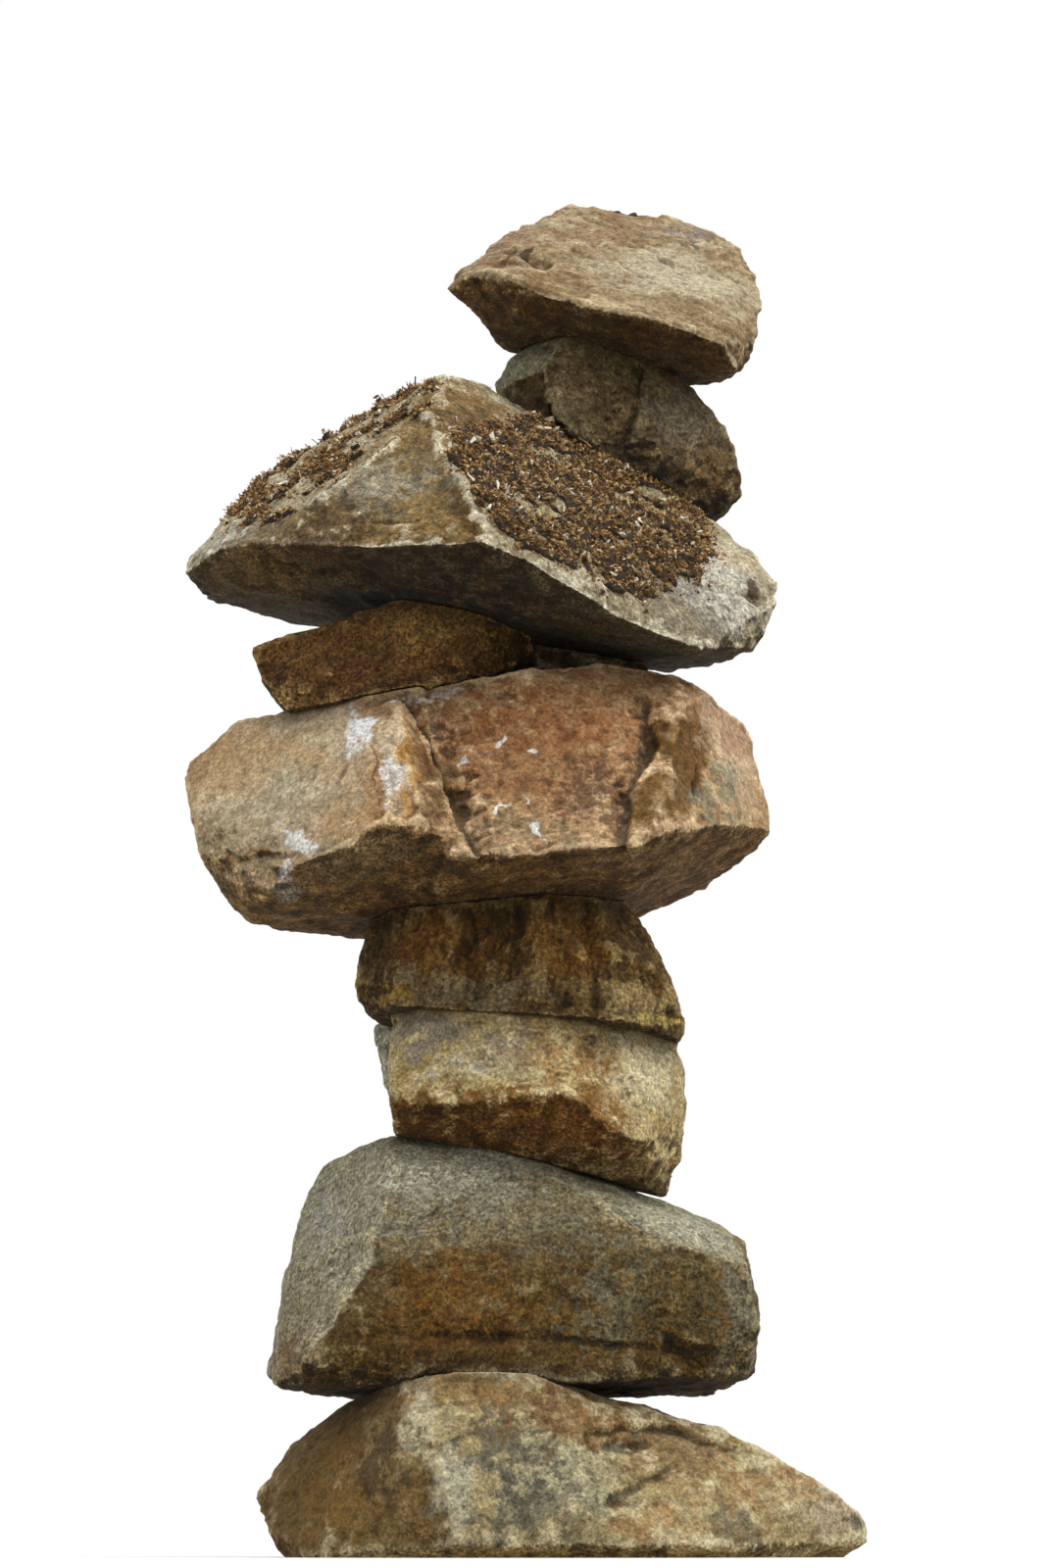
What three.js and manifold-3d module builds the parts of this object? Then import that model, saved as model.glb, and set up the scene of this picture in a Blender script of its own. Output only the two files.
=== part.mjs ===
// A stone cairn: ten rough pieces of sandstone balanced one on another, with leaf mould lying on
// the shoulders of the roof-shaped stone. Units are millimetres, +Z is up, +X is to the right of
// the cairn's face and -Y is towards whoever looks at that face. The origin is on the ground,
// under the middle of the stack.
//
// Every stone is made of lumps: one lump is the convex hull of its broken corners, and a stone
// with a hollow or a ledge in its face is two lumps joined. Where two stones touch, one of them
// is hollowed by the other, grown by a hair's breadth, so that they nest without cutting in.

import * as THREE from "three";
import { ConvexGeometry } from "three/addons/geometries/ConvexGeometry.js";
import { mergeVertices } from "three/addons/utils/BufferGeometryUtils.js";
import Module from "manifold-3d";

const wasm = await Module();
wasm.setup();

// ---------------------------------------------------------------- driving dimensions

const GAP = 0.4; // clearance between two stones that touch
const SOIL_RISE = 5; // how far the leaf mould stands up from the roof stone
const SOIL_TOP = 700; // a height that clears the roof stone
const WELD = 1e-4; // corners closer than this are one corner

// ---------------------------------------------------------------- corners of the stones
// Each corner is [x, y, z]. The lists go round the stone in bands, from the bottom up.

// The footing stone: a broad wedge with a flat sole, a sharp front rib and a low pointed right end.
const FOOTING = [
  [
    // sole, on the ground
    [-112, -30, 0], [-95, -72, 0], [-30, -88, 0], [60, -84, 0], [120, -52, 0], [152, -14, 0],
    [130, 45, 0], [70, 90, 0], [-30, 98, 0], [-95, 62, 0],
    // belt, just over the ground
    [-127, -10, 29], [-123, -24, 16], [-28, -102, 5], [30, -98, 5], [76, -91, 5], [161, -28, 7],
    [164, -20, 16], [146, -36, 31], [140, 40, 30], [80, 95, 35], [-40, 100, 38], [-94, 62, 34],
    // the front rib and the faces beside it
    [-34, -101, 30], [-41, -96, 49], [-51, -86, 66], [-56, -72, 80], [-110, -2, 51],
    // crown
    [-104, 8, 61], [-90, 10, 70], [-78, 22, 76], [-46, 72, 72], [30, 80, 74], [60, 60, 66],
    [117, -42, 46], [92, -50, 59], [48, -58, 70], [8, -66, 81],
  ],
  // the lip that stands up in front of the next stone
  [
    [-56, -73, 80], [-51, -86, 66], [-41, -96, 49], [-34, -101, 30], [-20, -100, 12],
    [-30, -79, 83], [3, -78, 83], [15, -78, 75], [46, -82, 34], [36, -94, 12], [62, -60, 60],
    [-40, -70, 40], [40, -60, 40],
  ],
];

// The block: the largest, a squared lump with a sloping top and a bevelled upper right shoulder.
const BLOCK = [
  [
    // underside
    [-123, -28, 85], [-116, -50, 78], [-101, -68, 76], [-40, -76, 78], [30, -75, 78],
    [104, -50, 82], [111, -20, 85], [94, 70, 79], [-78, 74, 77], [-101, 64, 79],
    // left side and the front left arris
    [-118, -20, 114], [-112, 0, 153], [-106, 10, 175], [-99, 10, 188], [-108, 60, 150],
    [-101, -78, 87], [-87, -81, 105], [-70, -76, 132], [-69, -71, 142], [-60, -52, 180],
    // top
    [-81, 0, 196], [-66, -30, 198], [-16, -45, 190], [12, -45, 182], [33, -25, 179],
    [-80, 50, 195], [-40, 76, 192], [50, 72, 176],
    // the bevelled shoulder and the right end
    [49, -70, 155], [67, -73, 143], [105, -60, 133], [110, -20, 138], [109, 10, 150],
    [100, 20, 160], [80, 10, 166], [90, 60, 154], [98, 68, 112], [110, -58, 105],
    // back
    [-86, 80, 122], [-30, 88, 140], [44, 86, 118],
  ],
];

// The blond stone: a short cushion, blunt at the left, with an overhanging belly under its face.
const BLOND = [
  [
    // underside, on the block
    [-62, -46, 197], [-30, -50, 192], [-6, -50, 187], [31, -42, 178], [59, -20, 174],
    [69, 8, 172], [-60, 8, 197],
    // lower edge of the face
    [-62, -59, 212], [-39, -68, 207], [-6, -72, 208], [20, -76, 213], [49, -63, 193],
    [59, -54, 191],
    // sides
    [-65, -46, 238], [-64, -50, 210], [79, 0, 198], [76, 8, 187], [82, -10, 215], [81, -12, 225],
    // top
    [-64, -40, 256], [-49, -56, 257], [-20, -61, 256], [12, -61, 255], [31, -56, 254],
    [55, -45, 249], [74, -25, 245], [76, -20, 237], [-60, 10, 260], [10, 12, 257], [66, 10, 247],
  ],
];

// The prop: a pale stone behind the blond one, its left end just showing.
const PROP = [
  [
    [-58, 16, 197], [-55, 68, 196], [20, 16, 184], [28, 66, 182], [-71, 55, 240], [-66, 22, 232],
    [-76, 50, 254], [-79, 48, 266], [-72, 18, 262], [-74, 72, 266], [34, 18, 256], [40, 68, 258],
    [44, 44, 225],
  ],
];

// The ribbed stone: a short drum that narrows upward, its lower right corner drawn out.
const RIBBED = [
  [
    // underside
    [-74, -30, 255], [-66, -52, 255], [-58, -62, 255], [0, -66, 252], [50, -66, 247],
    [76, -34, 243], [74, 50, 248], [40, 78, 256], [-66, 78, 264],
    // sides
    [-79, -40, 261], [-80, -42, 272], [-78, -36, 292], [80, -30, 252], [75, -40, 262],
    [66, -30, 286], [78, 44, 256], [-80, 52, 275], [-40, 84, 282], [30, 82, 290],
    // top
    [-76, -30, 305], [-64, -46, 306], [-44, -51, 307], [-16, -52, 309], [10, -52, 312],
    [32, -42, 316], [49, -22, 318], [59, -20, 306], [-68, 46, 312], [-20, 66, 316],
    [46, 52, 322],
  ],
];

// The slab: the widest. Its left lump has a smooth face that ends in a sharp upright rib, and
// its right lump a rough face hollowed between that rib and an ochre one.
const SLAB = [
  [
    // left tip
    [-170, -20, 378], [-170, -10, 388], [-164, -4, 396], [-161, -42, 355], [-158, -42, 335],
    [-166, 30, 370],
    // top
    [-145, -24, 406], [-118, -36, 409], [-76, -64, 409], [-50, -62, 414], [-135, 50, 404],
    [-60, 80, 412], [-20, 0, 417], [10, 78, 418], [-84, 92, 380],
    // the upright rib, and the lower edge of the face
    [-70, -90, 375], [-63, -106, 336], [-51, -105, 333], [-86, -97, 324], [-107, -86, 319],
    [-126, -60, 307], [-40, -80, 380],
    // underside
    [-144, -30, 310], [-135, -18, 303], [-109, 62, 317], [-85, 95, 319], [-60, -38, 304],
    [-60, 32, 306], [-12, -88, 323], [10, 88, 326], [-134, 70, 356],
  ],
  [
    // top
    [-47, -58, 414], [-26, -56, 417], [6, -51, 427], [32, -42, 431], [77, -30, 430],
    [92, -20, 424], [106, 0, 417], [116, 12, 411], [-30, 76, 418], [30, 82, 428], [90, 62, 416],
    // right end
    [120, 10, 393], [125, 0, 366], [125, -6, 354], [119, 12, 349], [95, 52, 338], [108, 64, 378],
    [30, 98, 378], [72, 84, 396],
    // the face
    [79, -50, 407], [75, -64, 380], [69, -78, 358], [56, -96, 326], [-30, -72, 380],
    // lower edge
    [-34, -100, 322], [-19, -101, 317], [4, -101, 320], [24, -99, 325], [72, -84, 336],
    [93, -60, 344], [112, -30, 353],
    // underside
    [-50, -40, 305], [48, -36, 314], [-50, 30, 307], [45, 32, 317], [63, 90, 329],
    [-40, 94, 322],
  ],
];

// The wedge: a smooth tapered stone under the left half of the roof stone.
const WEDGE = [
  [
    // underside
    [-117, -50, 405], [-93, -60, 406], [-74, -66, 409], [-45, -60, 413], [-31, -50, 415],
    [-100, 24, 405], [-22, 30, 418],
    // ends
    [-121, -45, 410], [-131, -45, 424], [-135, -42, 436], [-16, -30, 426], [6, -20, 442],
    [-126, 14, 425], [0, 24, 440],
    // top
    [-135, -38, 441], [-120, -30, 449], [-90, -36, 456], [-65, -46, 463], [-48, -51, 466],
    [-21, -51, 466], [-9, -46, 462], [3, -30, 454], [-110, 26, 450], [-20, 36, 468],
  ],
];

// The shim: a flat chip that keeps the right half of the roof stone off the slab.
const SHIM = [
  [
    [8, -6, 425], [64, -2, 428], [60, 56, 426], [10, 58, 424], [3, 2, 440], [2, 50, 444],
    [6, -4, 460], [66, 6, 446], [62, 50, 450], [10, 54, 462], [40, 20, 460],
  ],
];

// The roof stone: two slopes meeting in a ridge, a three-cornered facet below its peak, and a
// dark keeled underside.
const ROOF = [
  [
    // keel
    [-95, -48, 470], [-60, -52, 467], [-20, -54, 463], [-95, 26, 472], [10, 20, 457],
    [50, 14, 449], [84, -34, 438],
    // back edge of the underside
    [-165, 20, 484], [-147, 40, 486], [-123, 70, 487], [-113, 80, 488], [77, 82, 463],
    [90, 62, 460], [108, 32, 454], [-20, 92, 486],
    // left end
    [-173, -10, 489], [-173, 0, 500], [-168, 0, 484], [-159, 20, 528], [-140, 30, 554],
    // front edge
    [-152, -46, 491], [-136, -60, 489], [-108, -81, 480], [-77, -96, 474], [-48, -106, 472],
    [-17, -110, 472], [1, -106, 465], [17, -99, 457], [35, -90, 449], [47, -83, 442],
    [68, -70, 437], [88, -50, 436], [118, -6, 449],
    // three-cornered facet
    [-48, -56, 556], [-36, -76, 532], [-23, -99, 494], [-72, -70, 530], [-100, -76, 506],
    // ridge and right shoulder
    [-116, 30, 571], [-85, 22, 588], [-61, 2, 591], [-41, -18, 596], [-32, 0, 600],
    [-14, 10, 596], [86, 36, 541], [102, 36, 532], [121, 25, 514], [133, 10, 490],
    [131, 0, 476], [124, -2, 463],
    // back
    [-110, 68, 552], [-34, 70, 590], [36, 86, 560], [96, 78, 522], [106, 68, 486],
    [-60, 98, 520], [30, 102, 508],
  ],
];

// The saddle stone: an upright fist sitting across the right shoulder of the roof stone.
const SADDLE = [
  [
    // underside, along the shoulder
    [-14, 26, 602], [-2, 15, 581], [13, 11, 569], [22, 6, 564], [34, 11, 558], [55, 19, 550],
    [81, 29, 539], [103, 45, 537], [96, 84, 540], [10, 86, 578],
    // face
    [13, 5, 610], [16, 0, 592], [24, -1, 571], [60, 8, 590], [70, 10, 572],
    // right end
    [82, 28, 613], [93, 28, 605], [103, 30, 593], [113, 34, 575], [117, 36, 562],
    [117, 40, 549], [110, 41, 541], [110, 78, 570], [90, 84, 598],
    // top
    [-17, 38, 611], [-15, 40, 617], [-10, 40, 624], [6, 36, 636], [28, 14, 638], [40, 16, 635],
    [56, 28, 633], [2, 72, 622], [52, 76, 624],
    // back
    [12, 92, 598], [70, 94, 582],
  ],
];

// The cap: a boat-shaped stone, its keel to the lower left.
const CAP = [
  [
    // keel and underside
    [-7, 45, 632], [-17, 35, 637], [-22, 30, 643], [-30, 25, 652], [56, 20, 627], [96, 46, 612],
    [110, 30, 612], [0, 80, 650], [90, 84, 630],
    // lower edge of the face
    [-27, 10, 661], [-15, -1, 658], [-1, -11, 648], [15, -21, 635], [35, -26, 628],
    [52, -28, 623], [69, -28, 620], [86, -24, 616], [105, -10, 613], [112, 5, 605],
    [116, 28, 615],
    // left end
    [-40, 25, 661], [-38, 30, 669], [-28, 44, 686], [-18, 54, 700], [-28, 76, 684],
    // top
    [-2, 60, 711], [14, 64, 722], [28, 64, 727], [39, 64, 727], [57, 64, 722], [86, 68, 721],
    [101, 64, 713], [10, 92, 708], [90, 94, 700],
    // right end
    [120, 58, 699], [127, 45, 678], [129, 35, 657], [127, 25, 638], [121, 24, 621],
    [116, 82, 672],
    // back
    [20, 106, 678], [84, 104, 664],
  ],
];

// Where the leaf mould lies: two tall prisms whose footprints are drawn on the roof stone.
const SOIL_RIGHT_AREA = [
  [-32, -66], [-30, -80], [-18, -94], [0, -98], [24, -87], [48, -74], [67, -57], [86, -32],
  [93, -8], [92, 12], [84, 30], [40, 12], [10, -2], [-4, -24], [-19, -45],
];
const SOIL_LEFT_AREA = [
  [-152, 14], [-150, -10], [-134, -50], [-114, -64], [-98, -68], [-80, -64], [-66, -58],
  [-52, -46], [-49, -32], [-54, -12], [-66, -2], [-86, 14], [-116, 22],
];

// ---------------------------------------------------------------- solids

// The solid of a closed three.js geometry.
function solidOf(geometry) {
  const bare = new THREE.BufferGeometry();
  bare.setAttribute("position", geometry.getAttribute("position"));
  const merged = mergeVertices(bare, WELD);
  return new wasm.Manifold(
    new wasm.Mesh({
      numProp: 3,
      vertProperties: merged.getAttribute("position").array,
      triVerts: new Uint32Array(merged.index.array),
    }),
  );
}

// A lump: the convex hull of its corners, each pushed out by `grow` along the three axes.
function lump(corners, grow = 0) {
  const points = [];
  const steps = grow > 0 ? [-grow, grow] : [0];
  for (const [x, y, z] of corners) {
    for (const dx of steps) {
      for (const dy of steps) {
        for (const dz of steps) {
          points.push(new THREE.Vector3(x + dx, y + dy, z + dz));
        }
      }
    }
  }
  return solidOf(new ConvexGeometry(points));
}

// A stone: its lumps joined.
function stone(lumps, grow = 0) {
  return lumps.map((corners) => lump(corners, grow)).reduce((whole, next) => whole.add(next));
}

// A stone hollowed where its neighbours press into it.
function nested(lumps, ...neighbours) {
  return neighbours.reduce((solid, other) => solid.subtract(stone(other, GAP)), stone(lumps));
}

// Leaf mould: the skin between the roof stone and the same stone raised, inside a drawn area.
function leafMould(area) {
  const outline = new THREE.Shape(area.map(([x, y]) => new THREE.Vector2(x, y)));
  const prism = new THREE.ExtrudeGeometry(outline, { depth: SOIL_TOP, bevelEnabled: false });
  return stone(ROOF)
    .translate([0, 0, SOIL_RISE])
    .intersect(solidOf(prism))
    .subtract(stone(ROOF, GAP))
    .subtract(stone(SADDLE, GAP));
}

// ---------------------------------------------------------------- colours

const COLOURS = {
  footing: "#a98b63",
  block: "#8c7a57",
  blond: "#b8965c",
  prop: "#c9c2ae",
  ribbed: "#6f5636",
  slab: "#9c6440",
  wedge: "#94703d",
  shim: "#8a6a45",
  roof: "#a39278",
  soil: "#4f3722",
  saddle: "#6d5b3f",
  cap: "#a8875b",
};

// ---------------------------------------------------------------- the cairn

const cairn = new THREE.Group();
cairn.name = "stone_cairn";

// Adds a solid to the cairn as a named mesh with its own matt stone material.
function place(name, colour, solid) {
  const { numProp, numVert, vertProperties, triVerts } = solid.getMesh();
  const positions = new Float32Array(numVert * 3);
  for (let i = 0; i < numVert; i += 1) {
    positions.set(vertProperties.subarray(i * numProp, i * numProp + 3), i * 3);
  }
  const geometry = new THREE.BufferGeometry();
  geometry.setAttribute("position", new THREE.BufferAttribute(positions, 3));
  geometry.setIndex(new THREE.BufferAttribute(triVerts, 1));
  const material = new THREE.MeshStandardMaterial({ color: colour, roughness: 0.9, metalness: 0 });
  material.flatShading = true;
  const mesh = new THREE.Mesh(geometry, material);
  mesh.name = name;
  cairn.add(mesh);
}

place("footing_stone", COLOURS.footing, stone(FOOTING));
place("block_stone", COLOURS.block, nested(BLOCK, FOOTING));
place("blond_stone", COLOURS.blond, nested(BLOND, BLOCK));
place("prop_stone", COLOURS.prop, nested(PROP, BLOCK, BLOND));
place("ribbed_stone", COLOURS.ribbed, nested(RIBBED, BLOND, PROP, SLAB));
place("rust_slab", COLOURS.slab, stone(SLAB));
place("wedge_stone", COLOURS.wedge, nested(WEDGE, SLAB, ROOF));
place("shim_stone", COLOURS.shim, nested(SHIM, SLAB, ROOF, WEDGE));
place("roof_stone", COLOURS.roof, nested(ROOF, SADDLE));
place("leaf_mould_right", COLOURS.soil, leafMould(SOIL_RIGHT_AREA));
place("leaf_mould_left", COLOURS.soil, leafMould(SOIL_LEFT_AREA));
place("saddle_stone", COLOURS.saddle, stone(SADDLE));
place("cap_stone", COLOURS.cap, nested(CAP, SADDLE));

// The stack stands with the middle of its outline over the origin and its sole at height zero.
const outline = new THREE.Box3().setFromObject(cairn, true);
const middle = outline.getCenter(new THREE.Vector3());
for (const mesh of cairn.children) {
  mesh.geometry.translate(-middle.x, -middle.y, -outline.min.z);
}

export default cairn;
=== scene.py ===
# %% [markdown]
# # A stone cairn
# Eleven rough pieces of sandstone are stacked one on another, and leaf mould lies on the two
# slopes of the roof-shaped stone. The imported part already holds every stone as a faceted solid
# in its right place. This lesson turns each of those solids into weathered stone: a copy is
# rounded, cut into a fine skin, roughened layer by layer, and given a finish made of nodes.

import math

import bpy
import numpy as np
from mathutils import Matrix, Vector
from mathutils.bvhtree import BVHTree
from mathutils.noise import noise as wobble


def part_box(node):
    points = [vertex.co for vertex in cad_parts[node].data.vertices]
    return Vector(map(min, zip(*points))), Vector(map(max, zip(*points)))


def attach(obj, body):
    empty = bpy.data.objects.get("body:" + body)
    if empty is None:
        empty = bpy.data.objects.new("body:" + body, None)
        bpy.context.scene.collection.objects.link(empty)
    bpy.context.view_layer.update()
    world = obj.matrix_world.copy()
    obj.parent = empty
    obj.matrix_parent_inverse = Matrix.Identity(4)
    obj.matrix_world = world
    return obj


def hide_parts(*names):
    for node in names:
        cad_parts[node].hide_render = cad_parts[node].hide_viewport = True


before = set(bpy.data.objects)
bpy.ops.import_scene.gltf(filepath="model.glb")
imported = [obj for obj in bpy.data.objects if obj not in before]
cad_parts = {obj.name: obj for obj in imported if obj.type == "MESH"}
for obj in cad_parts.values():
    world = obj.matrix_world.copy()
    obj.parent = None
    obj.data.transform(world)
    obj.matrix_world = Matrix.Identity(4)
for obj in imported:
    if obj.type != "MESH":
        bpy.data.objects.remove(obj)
bpy.ops.object.select_all(action="DESELECT")
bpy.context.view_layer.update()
MM = 0.001  # the stones are drawn in metres; sizes below are given in millimetres

# %% [markdown]
# ## The camera and the light
# The cairn stands on a wall and is looked at from just above the wall's top, with the lens
# tipped up. A cloudy sky gives nearly all the light: it is bright overhead and pale at the
# horizon, and little comes from below, so undersides stay dark. The world is therefore a
# gradient by height, and one broad lamp overhead adds soft shadows. A sky texture would bring a
# sun, which a cloudy day does not have.

# %% Camera
CAMERA_HEIGHT = 5
CAMERA_DISTANCE = 1498
CAMERA_TILT = 14.04  # degrees up from level
CAMERA_ASIDE = 4.5
bpy.ops.object.camera_add(
    location=(CAMERA_ASIDE * MM, -CAMERA_DISTANCE * MM, CAMERA_HEIGHT * MM),
    rotation=(math.radians(90 + CAMERA_TILT), 0, 0),
)
camera = bpy.context.object
camera.data.lens = 70
camera.data.sensor_width = 36
bpy.context.scene.camera = camera
print("camera tilted up by", CAMERA_TILT, "degrees")


# %% Small helpers that add nodes
def node(tree, kind, settings=None, sockets=None):
    """Adds a node. `sockets` maps an input's name or number to a value or to an output."""
    made = tree.nodes.new(kind)
    for key, value in (settings or {}).items():
        setattr(made, key, value)
    for key, value in (sockets or {}).items():
        if isinstance(value, bpy.types.NodeSocket):
            tree.links.new(value, made.inputs[key])
        else:
            made.inputs[key].default_value = value
    return made


def remap(tree, value, low, high, to_low=0.0, to_high=1.0):
    """Stretches low..high to to_low..to_high, smoothly, and holds it there."""
    ends = {0: value, 1: low, 2: high, 3: to_low, 4: to_high}
    smooth = {"interpolation_type": "SMOOTHSTEP"}
    return node(tree, "ShaderNodeMapRange", smooth, ends).outputs[0]


def calc(tree, operation, a, b=0.0):
    """One sum on two numbers."""
    return node(tree, "ShaderNodeMath", {"operation": operation}, {0: a, 1: b}).outputs[0]


def total(tree, *parts):
    """Adds values up, each times its share."""
    out = None
    for value, share in parts:
        part = value if share == 1 else calc(tree, "MULTIPLY", value, share)
        out = part if out is None else calc(tree, "ADD", out, part)
    return out


def blend(tree, factor, a, b):
    """Lays colour b over colour a."""
    settings = {"data_type": "RGBA", "clamp_result": True}
    return node(tree, "ShaderNodeMix", settings, {0: factor, 6: a, 7: b}).outputs[2]


# %% World
SKY_TOP = 1.25
SKY_RIM = 0.75
SKY_BELOW = 0.30
CLOUD_WHITE = (0.97, 0.985, 1.0, 1.0)
EARTH_GLOW = (1.0, 0.77, 0.46, 1.0)
PAPER_WHITE = (1.0, 1.0, 1.0, 1.0)  # what the camera sees behind the stones
world = bpy.data.worlds.new("cloudy_sky")
bpy.context.scene.world = world
world.use_nodes = True
sky = world.node_tree
sky.nodes.clear()
direction = node(sky, "ShaderNodeTexCoord").outputs["Generated"]
height = node(sky, "ShaderNodeSeparateXYZ", None, {0: direction}).outputs[2]
lower = remap(sky, height, -0.35, 0.02, SKY_BELOW, SKY_RIM)
upper = remap(sky, height, 0.0, 0.9, 0.0, SKY_TOP - SKY_RIM)
hue = blend(sky, remap(sky, height, -0.4, 0.05), EARTH_GLOW, CLOUD_WHITE)
brightness = calc(sky, "ADD", lower, upper)
glow = node(sky, "ShaderNodeBackground", None, {0: hue, 1: brightness}).outputs[0]
plain = node(sky, "ShaderNodeBackground", None, {0: PAPER_WHITE, 1: 1.0}).outputs[0]
seen = node(sky, "ShaderNodeLightPath").outputs["Is Camera Ray"]
both = node(sky, "ShaderNodeMixShader", None, {0: seen, 1: glow, 2: plain}).outputs[0]
node(sky, "ShaderNodeOutputWorld", None, {0: both})
print("sky brightness from", SKY_BELOW, "below to", SKY_TOP, "overhead")

# %% Soft lamp overhead
LAMP_PLACE = (700, -500, 1900)
LAMP_AIM = (0, 0, 400)
LAMP_SIZE = 1500
LAMP_WATTS = 26
bpy.ops.object.light_add(type="AREA", location=[v * MM for v in LAMP_PLACE])
lamp = bpy.context.object
lamp.data.shape = "DISK"
lamp.data.size = LAMP_SIZE * MM
lamp.data.energy = LAMP_WATTS
aim = (Vector(LAMP_AIM) - Vector(LAMP_PLACE)) * MM
lamp.rotation_euler = aim.to_track_quat("-Z", "Y").to_euler()
bpy.context.scene.view_settings.view_transform = "Standard"
print("lamp", LAMP_SIZE, "mm wide,", round(aim.length / MM), "mm from what it is aimed at")

# %% Floor
FLOOR_SIZE = 90  # metres, so that its far edge is out of sight
bpy.ops.mesh.primitive_plane_add(size=FLOOR_SIZE, location=(0, 0, 0))
floor = bpy.context.object
floor.name = "floor"
floor.visible_diffuse = False  # the real wall top is narrow and throws no light back up
paper = bpy.data.materials.new("pale_floor")
paper.use_nodes = True
shader = paper.node_tree.nodes["Principled BSDF"]
shader.inputs["Base Color"].default_value = (0.9, 0.9, 0.89, 1)
shader.inputs["Roughness"].default_value = 0.9
floor.data.materials.append(paper)
print("floor", FLOOR_SIZE, "m square")

# %% [markdown]
# ## Turning a faceted solid into stone
# Broken sandstone has large flat faces, arrises that have been knocked and rounded, scoops where
# flakes came off, and a gritty skin. Each of these has its own size, so each is one layer: a
# bevel for the arrises, a voxel remesh that gives the stone an even skin of small faces, and a
# row of Displace modifiers whose textures get finer and weaker. Sculpting would do the same by
# hand; layers do it the same way every time.


# %% Copy a packed stone
def copy_of(source, name):
    """Copies an object with its own mesh, alone in the selection."""
    bpy.ops.object.select_all(action="DESELECT")
    made = source.copy()
    made.data = source.data.copy()
    made.name = name
    made.data.name = name
    made.parent = None
    bpy.context.scene.collection.objects.link(made)
    made.select_set(True)
    bpy.context.view_layer.objects.active = made
    return made


def merged_copy(name, node_name):
    """A copy of a packed stone with its doubled corners merged."""
    made = copy_of(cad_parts[node_name], name)
    made.data.materials.clear()
    bpy.ops.object.mode_set(mode="EDIT")
    bpy.ops.mesh.select_all(action="SELECT")
    bpy.ops.mesh.remove_doubles(threshold=0.01 * MM)
    bpy.ops.object.mode_set(mode="OBJECT")
    return made


def modify(stone, kind, **settings):
    """Adds one modifier to a stone and applies it."""
    bpy.context.view_layer.objects.active = stone
    made = stone.modifiers.new(kind.lower(), kind)
    for key, value in settings.items():
        setattr(made, key, value)
    bpy.ops.object.modifier_apply(modifier=made.name)


# %% Textures that shape the skin
def clouds(name, size, depth=2):
    """Rolling bumps about `size` mm across."""
    made = bpy.data.textures.new(name, "CLOUDS")
    made.noise_scale = size * MM
    made.noise_depth = depth
    made.noise_type = "SOFT_NOISE"
    return made


def scoops(name, size):
    """Shallow bowls about `size` mm across that meet in sharp rims, like flaked stone."""
    made = bpy.data.textures.new(name, "VORONOI")
    made.noise_scale = size * MM
    made.noise_intensity = 1.0
    return made


def broken(name, size):
    """Ridges and hollows from `size` mm down, each finer set riding on the last."""
    made = bpy.data.textures.new(name, "MUSGRAVE")
    made.musgrave_type = "RIDGED_MULTIFRACTAL"
    made.noise_scale = size * MM
    made.octaves = 4
    made.lacunarity = 2.1
    made.dimension_max = 0.9
    return made


swell = clouds("swell", 60)
lumps = clouds("lumps", 22)
breaks = broken("breaks", 38)
flakes = scoops("flakes", 21)
chips = scoops("chips", 8)
grit = clouds("grit", 6, 3)
sand = clouds("sand", 2.4)
knocks = clouds("knocks", 11)
print(len(bpy.data.textures), "textures")

# %% [markdown]
# ## Seats, arrises and hollows
# A stone in a stack is clean and tight where it sits on its neighbour, so its skin must not move
# there. Its arrises chip, and painted shade darkens its hollows and the skin close to its seats.
# All of that depends on the shape round each corner of the mesh, so it is measured once: the gap
# to the neighbours, and how far a corner stands out of the skin round it. Painting weights by
# hand would do it too, stone by stone.


# %% Where a stone touches its neighbours
REACH = 30  # mm past which a neighbour no longer counts


def tree_of(node_name):
    """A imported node's faces, sorted so that the nearest one is found quickly."""
    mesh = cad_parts[node_name].data
    corners = [v.co for v in mesh.vertices]
    return BVHTree.FromPolygons(corners, [p.vertices[:] for p in mesh.polygons])


def gaps_to(stone, neighbours):
    """How far each corner of the stone is from the nearest neighbouring packed stone, in mm."""
    trees = [tree_of(name) for name in neighbours]
    out = np.full(len(stone.data.vertices), REACH * MM)
    for i, v in enumerate(stone.data.vertices):
        for tree in trees:
            distance = tree.find_nearest(v.co, REACH * MM)[3]
            if distance is not None and distance < out[i]:
                out[i] = distance
    return out / MM


def weight_group(stone, name, weights):
    """Stores a weight for each corner of the stone, in steps of a twentieth."""
    group = stone.vertex_groups.new(name=name)
    steps = np.round(np.clip(weights, 0, 1) * 20).astype(int)
    for step in range(1, 21):
        group.add(np.nonzero(steps == step)[0].tolist(), step / 20, "REPLACE")


def smoothstep(values, low, high):
    """0 below low, 1 above high, and a soft rise between."""
    t = np.clip((values - low) / (high - low), 0, 1)
    return t * t * (3 - 2 * t)


# %% Measures of the finished skin
def read(things, what, kind=float, width=3):
    """A mesh's numbers as rows: what each vertex, edge or triangle says."""
    flat = np.zeros(len(things) * width, kind)
    things.foreach_get(what, flat)
    return flat.reshape(-1, width)


def corners_of(stone):
    """Where each corner is, in metres."""
    return read(stone.data.vertices, "co")


def normals_of(stone):
    """Which way the skin looks at each corner."""
    return read(stone.data.vertices, "normal")


def relax(points, edges, times):
    """Moves every corner to the middle of its neighbours, `times` over."""
    a, b = edges[:, 0], edges[:, 1]
    count = np.bincount(a, minlength=len(points)) + np.bincount(b, minlength=len(points))
    count = np.maximum(count, 1)[:, None]
    for _ in range(times):
        around = np.zeros_like(points)
        for axis in range(3):
            around[:, axis] = np.bincount(a, points[b, axis], len(points))
            around[:, axis] += np.bincount(b, points[a, axis], len(points))
        points = around / count
    return points


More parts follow.
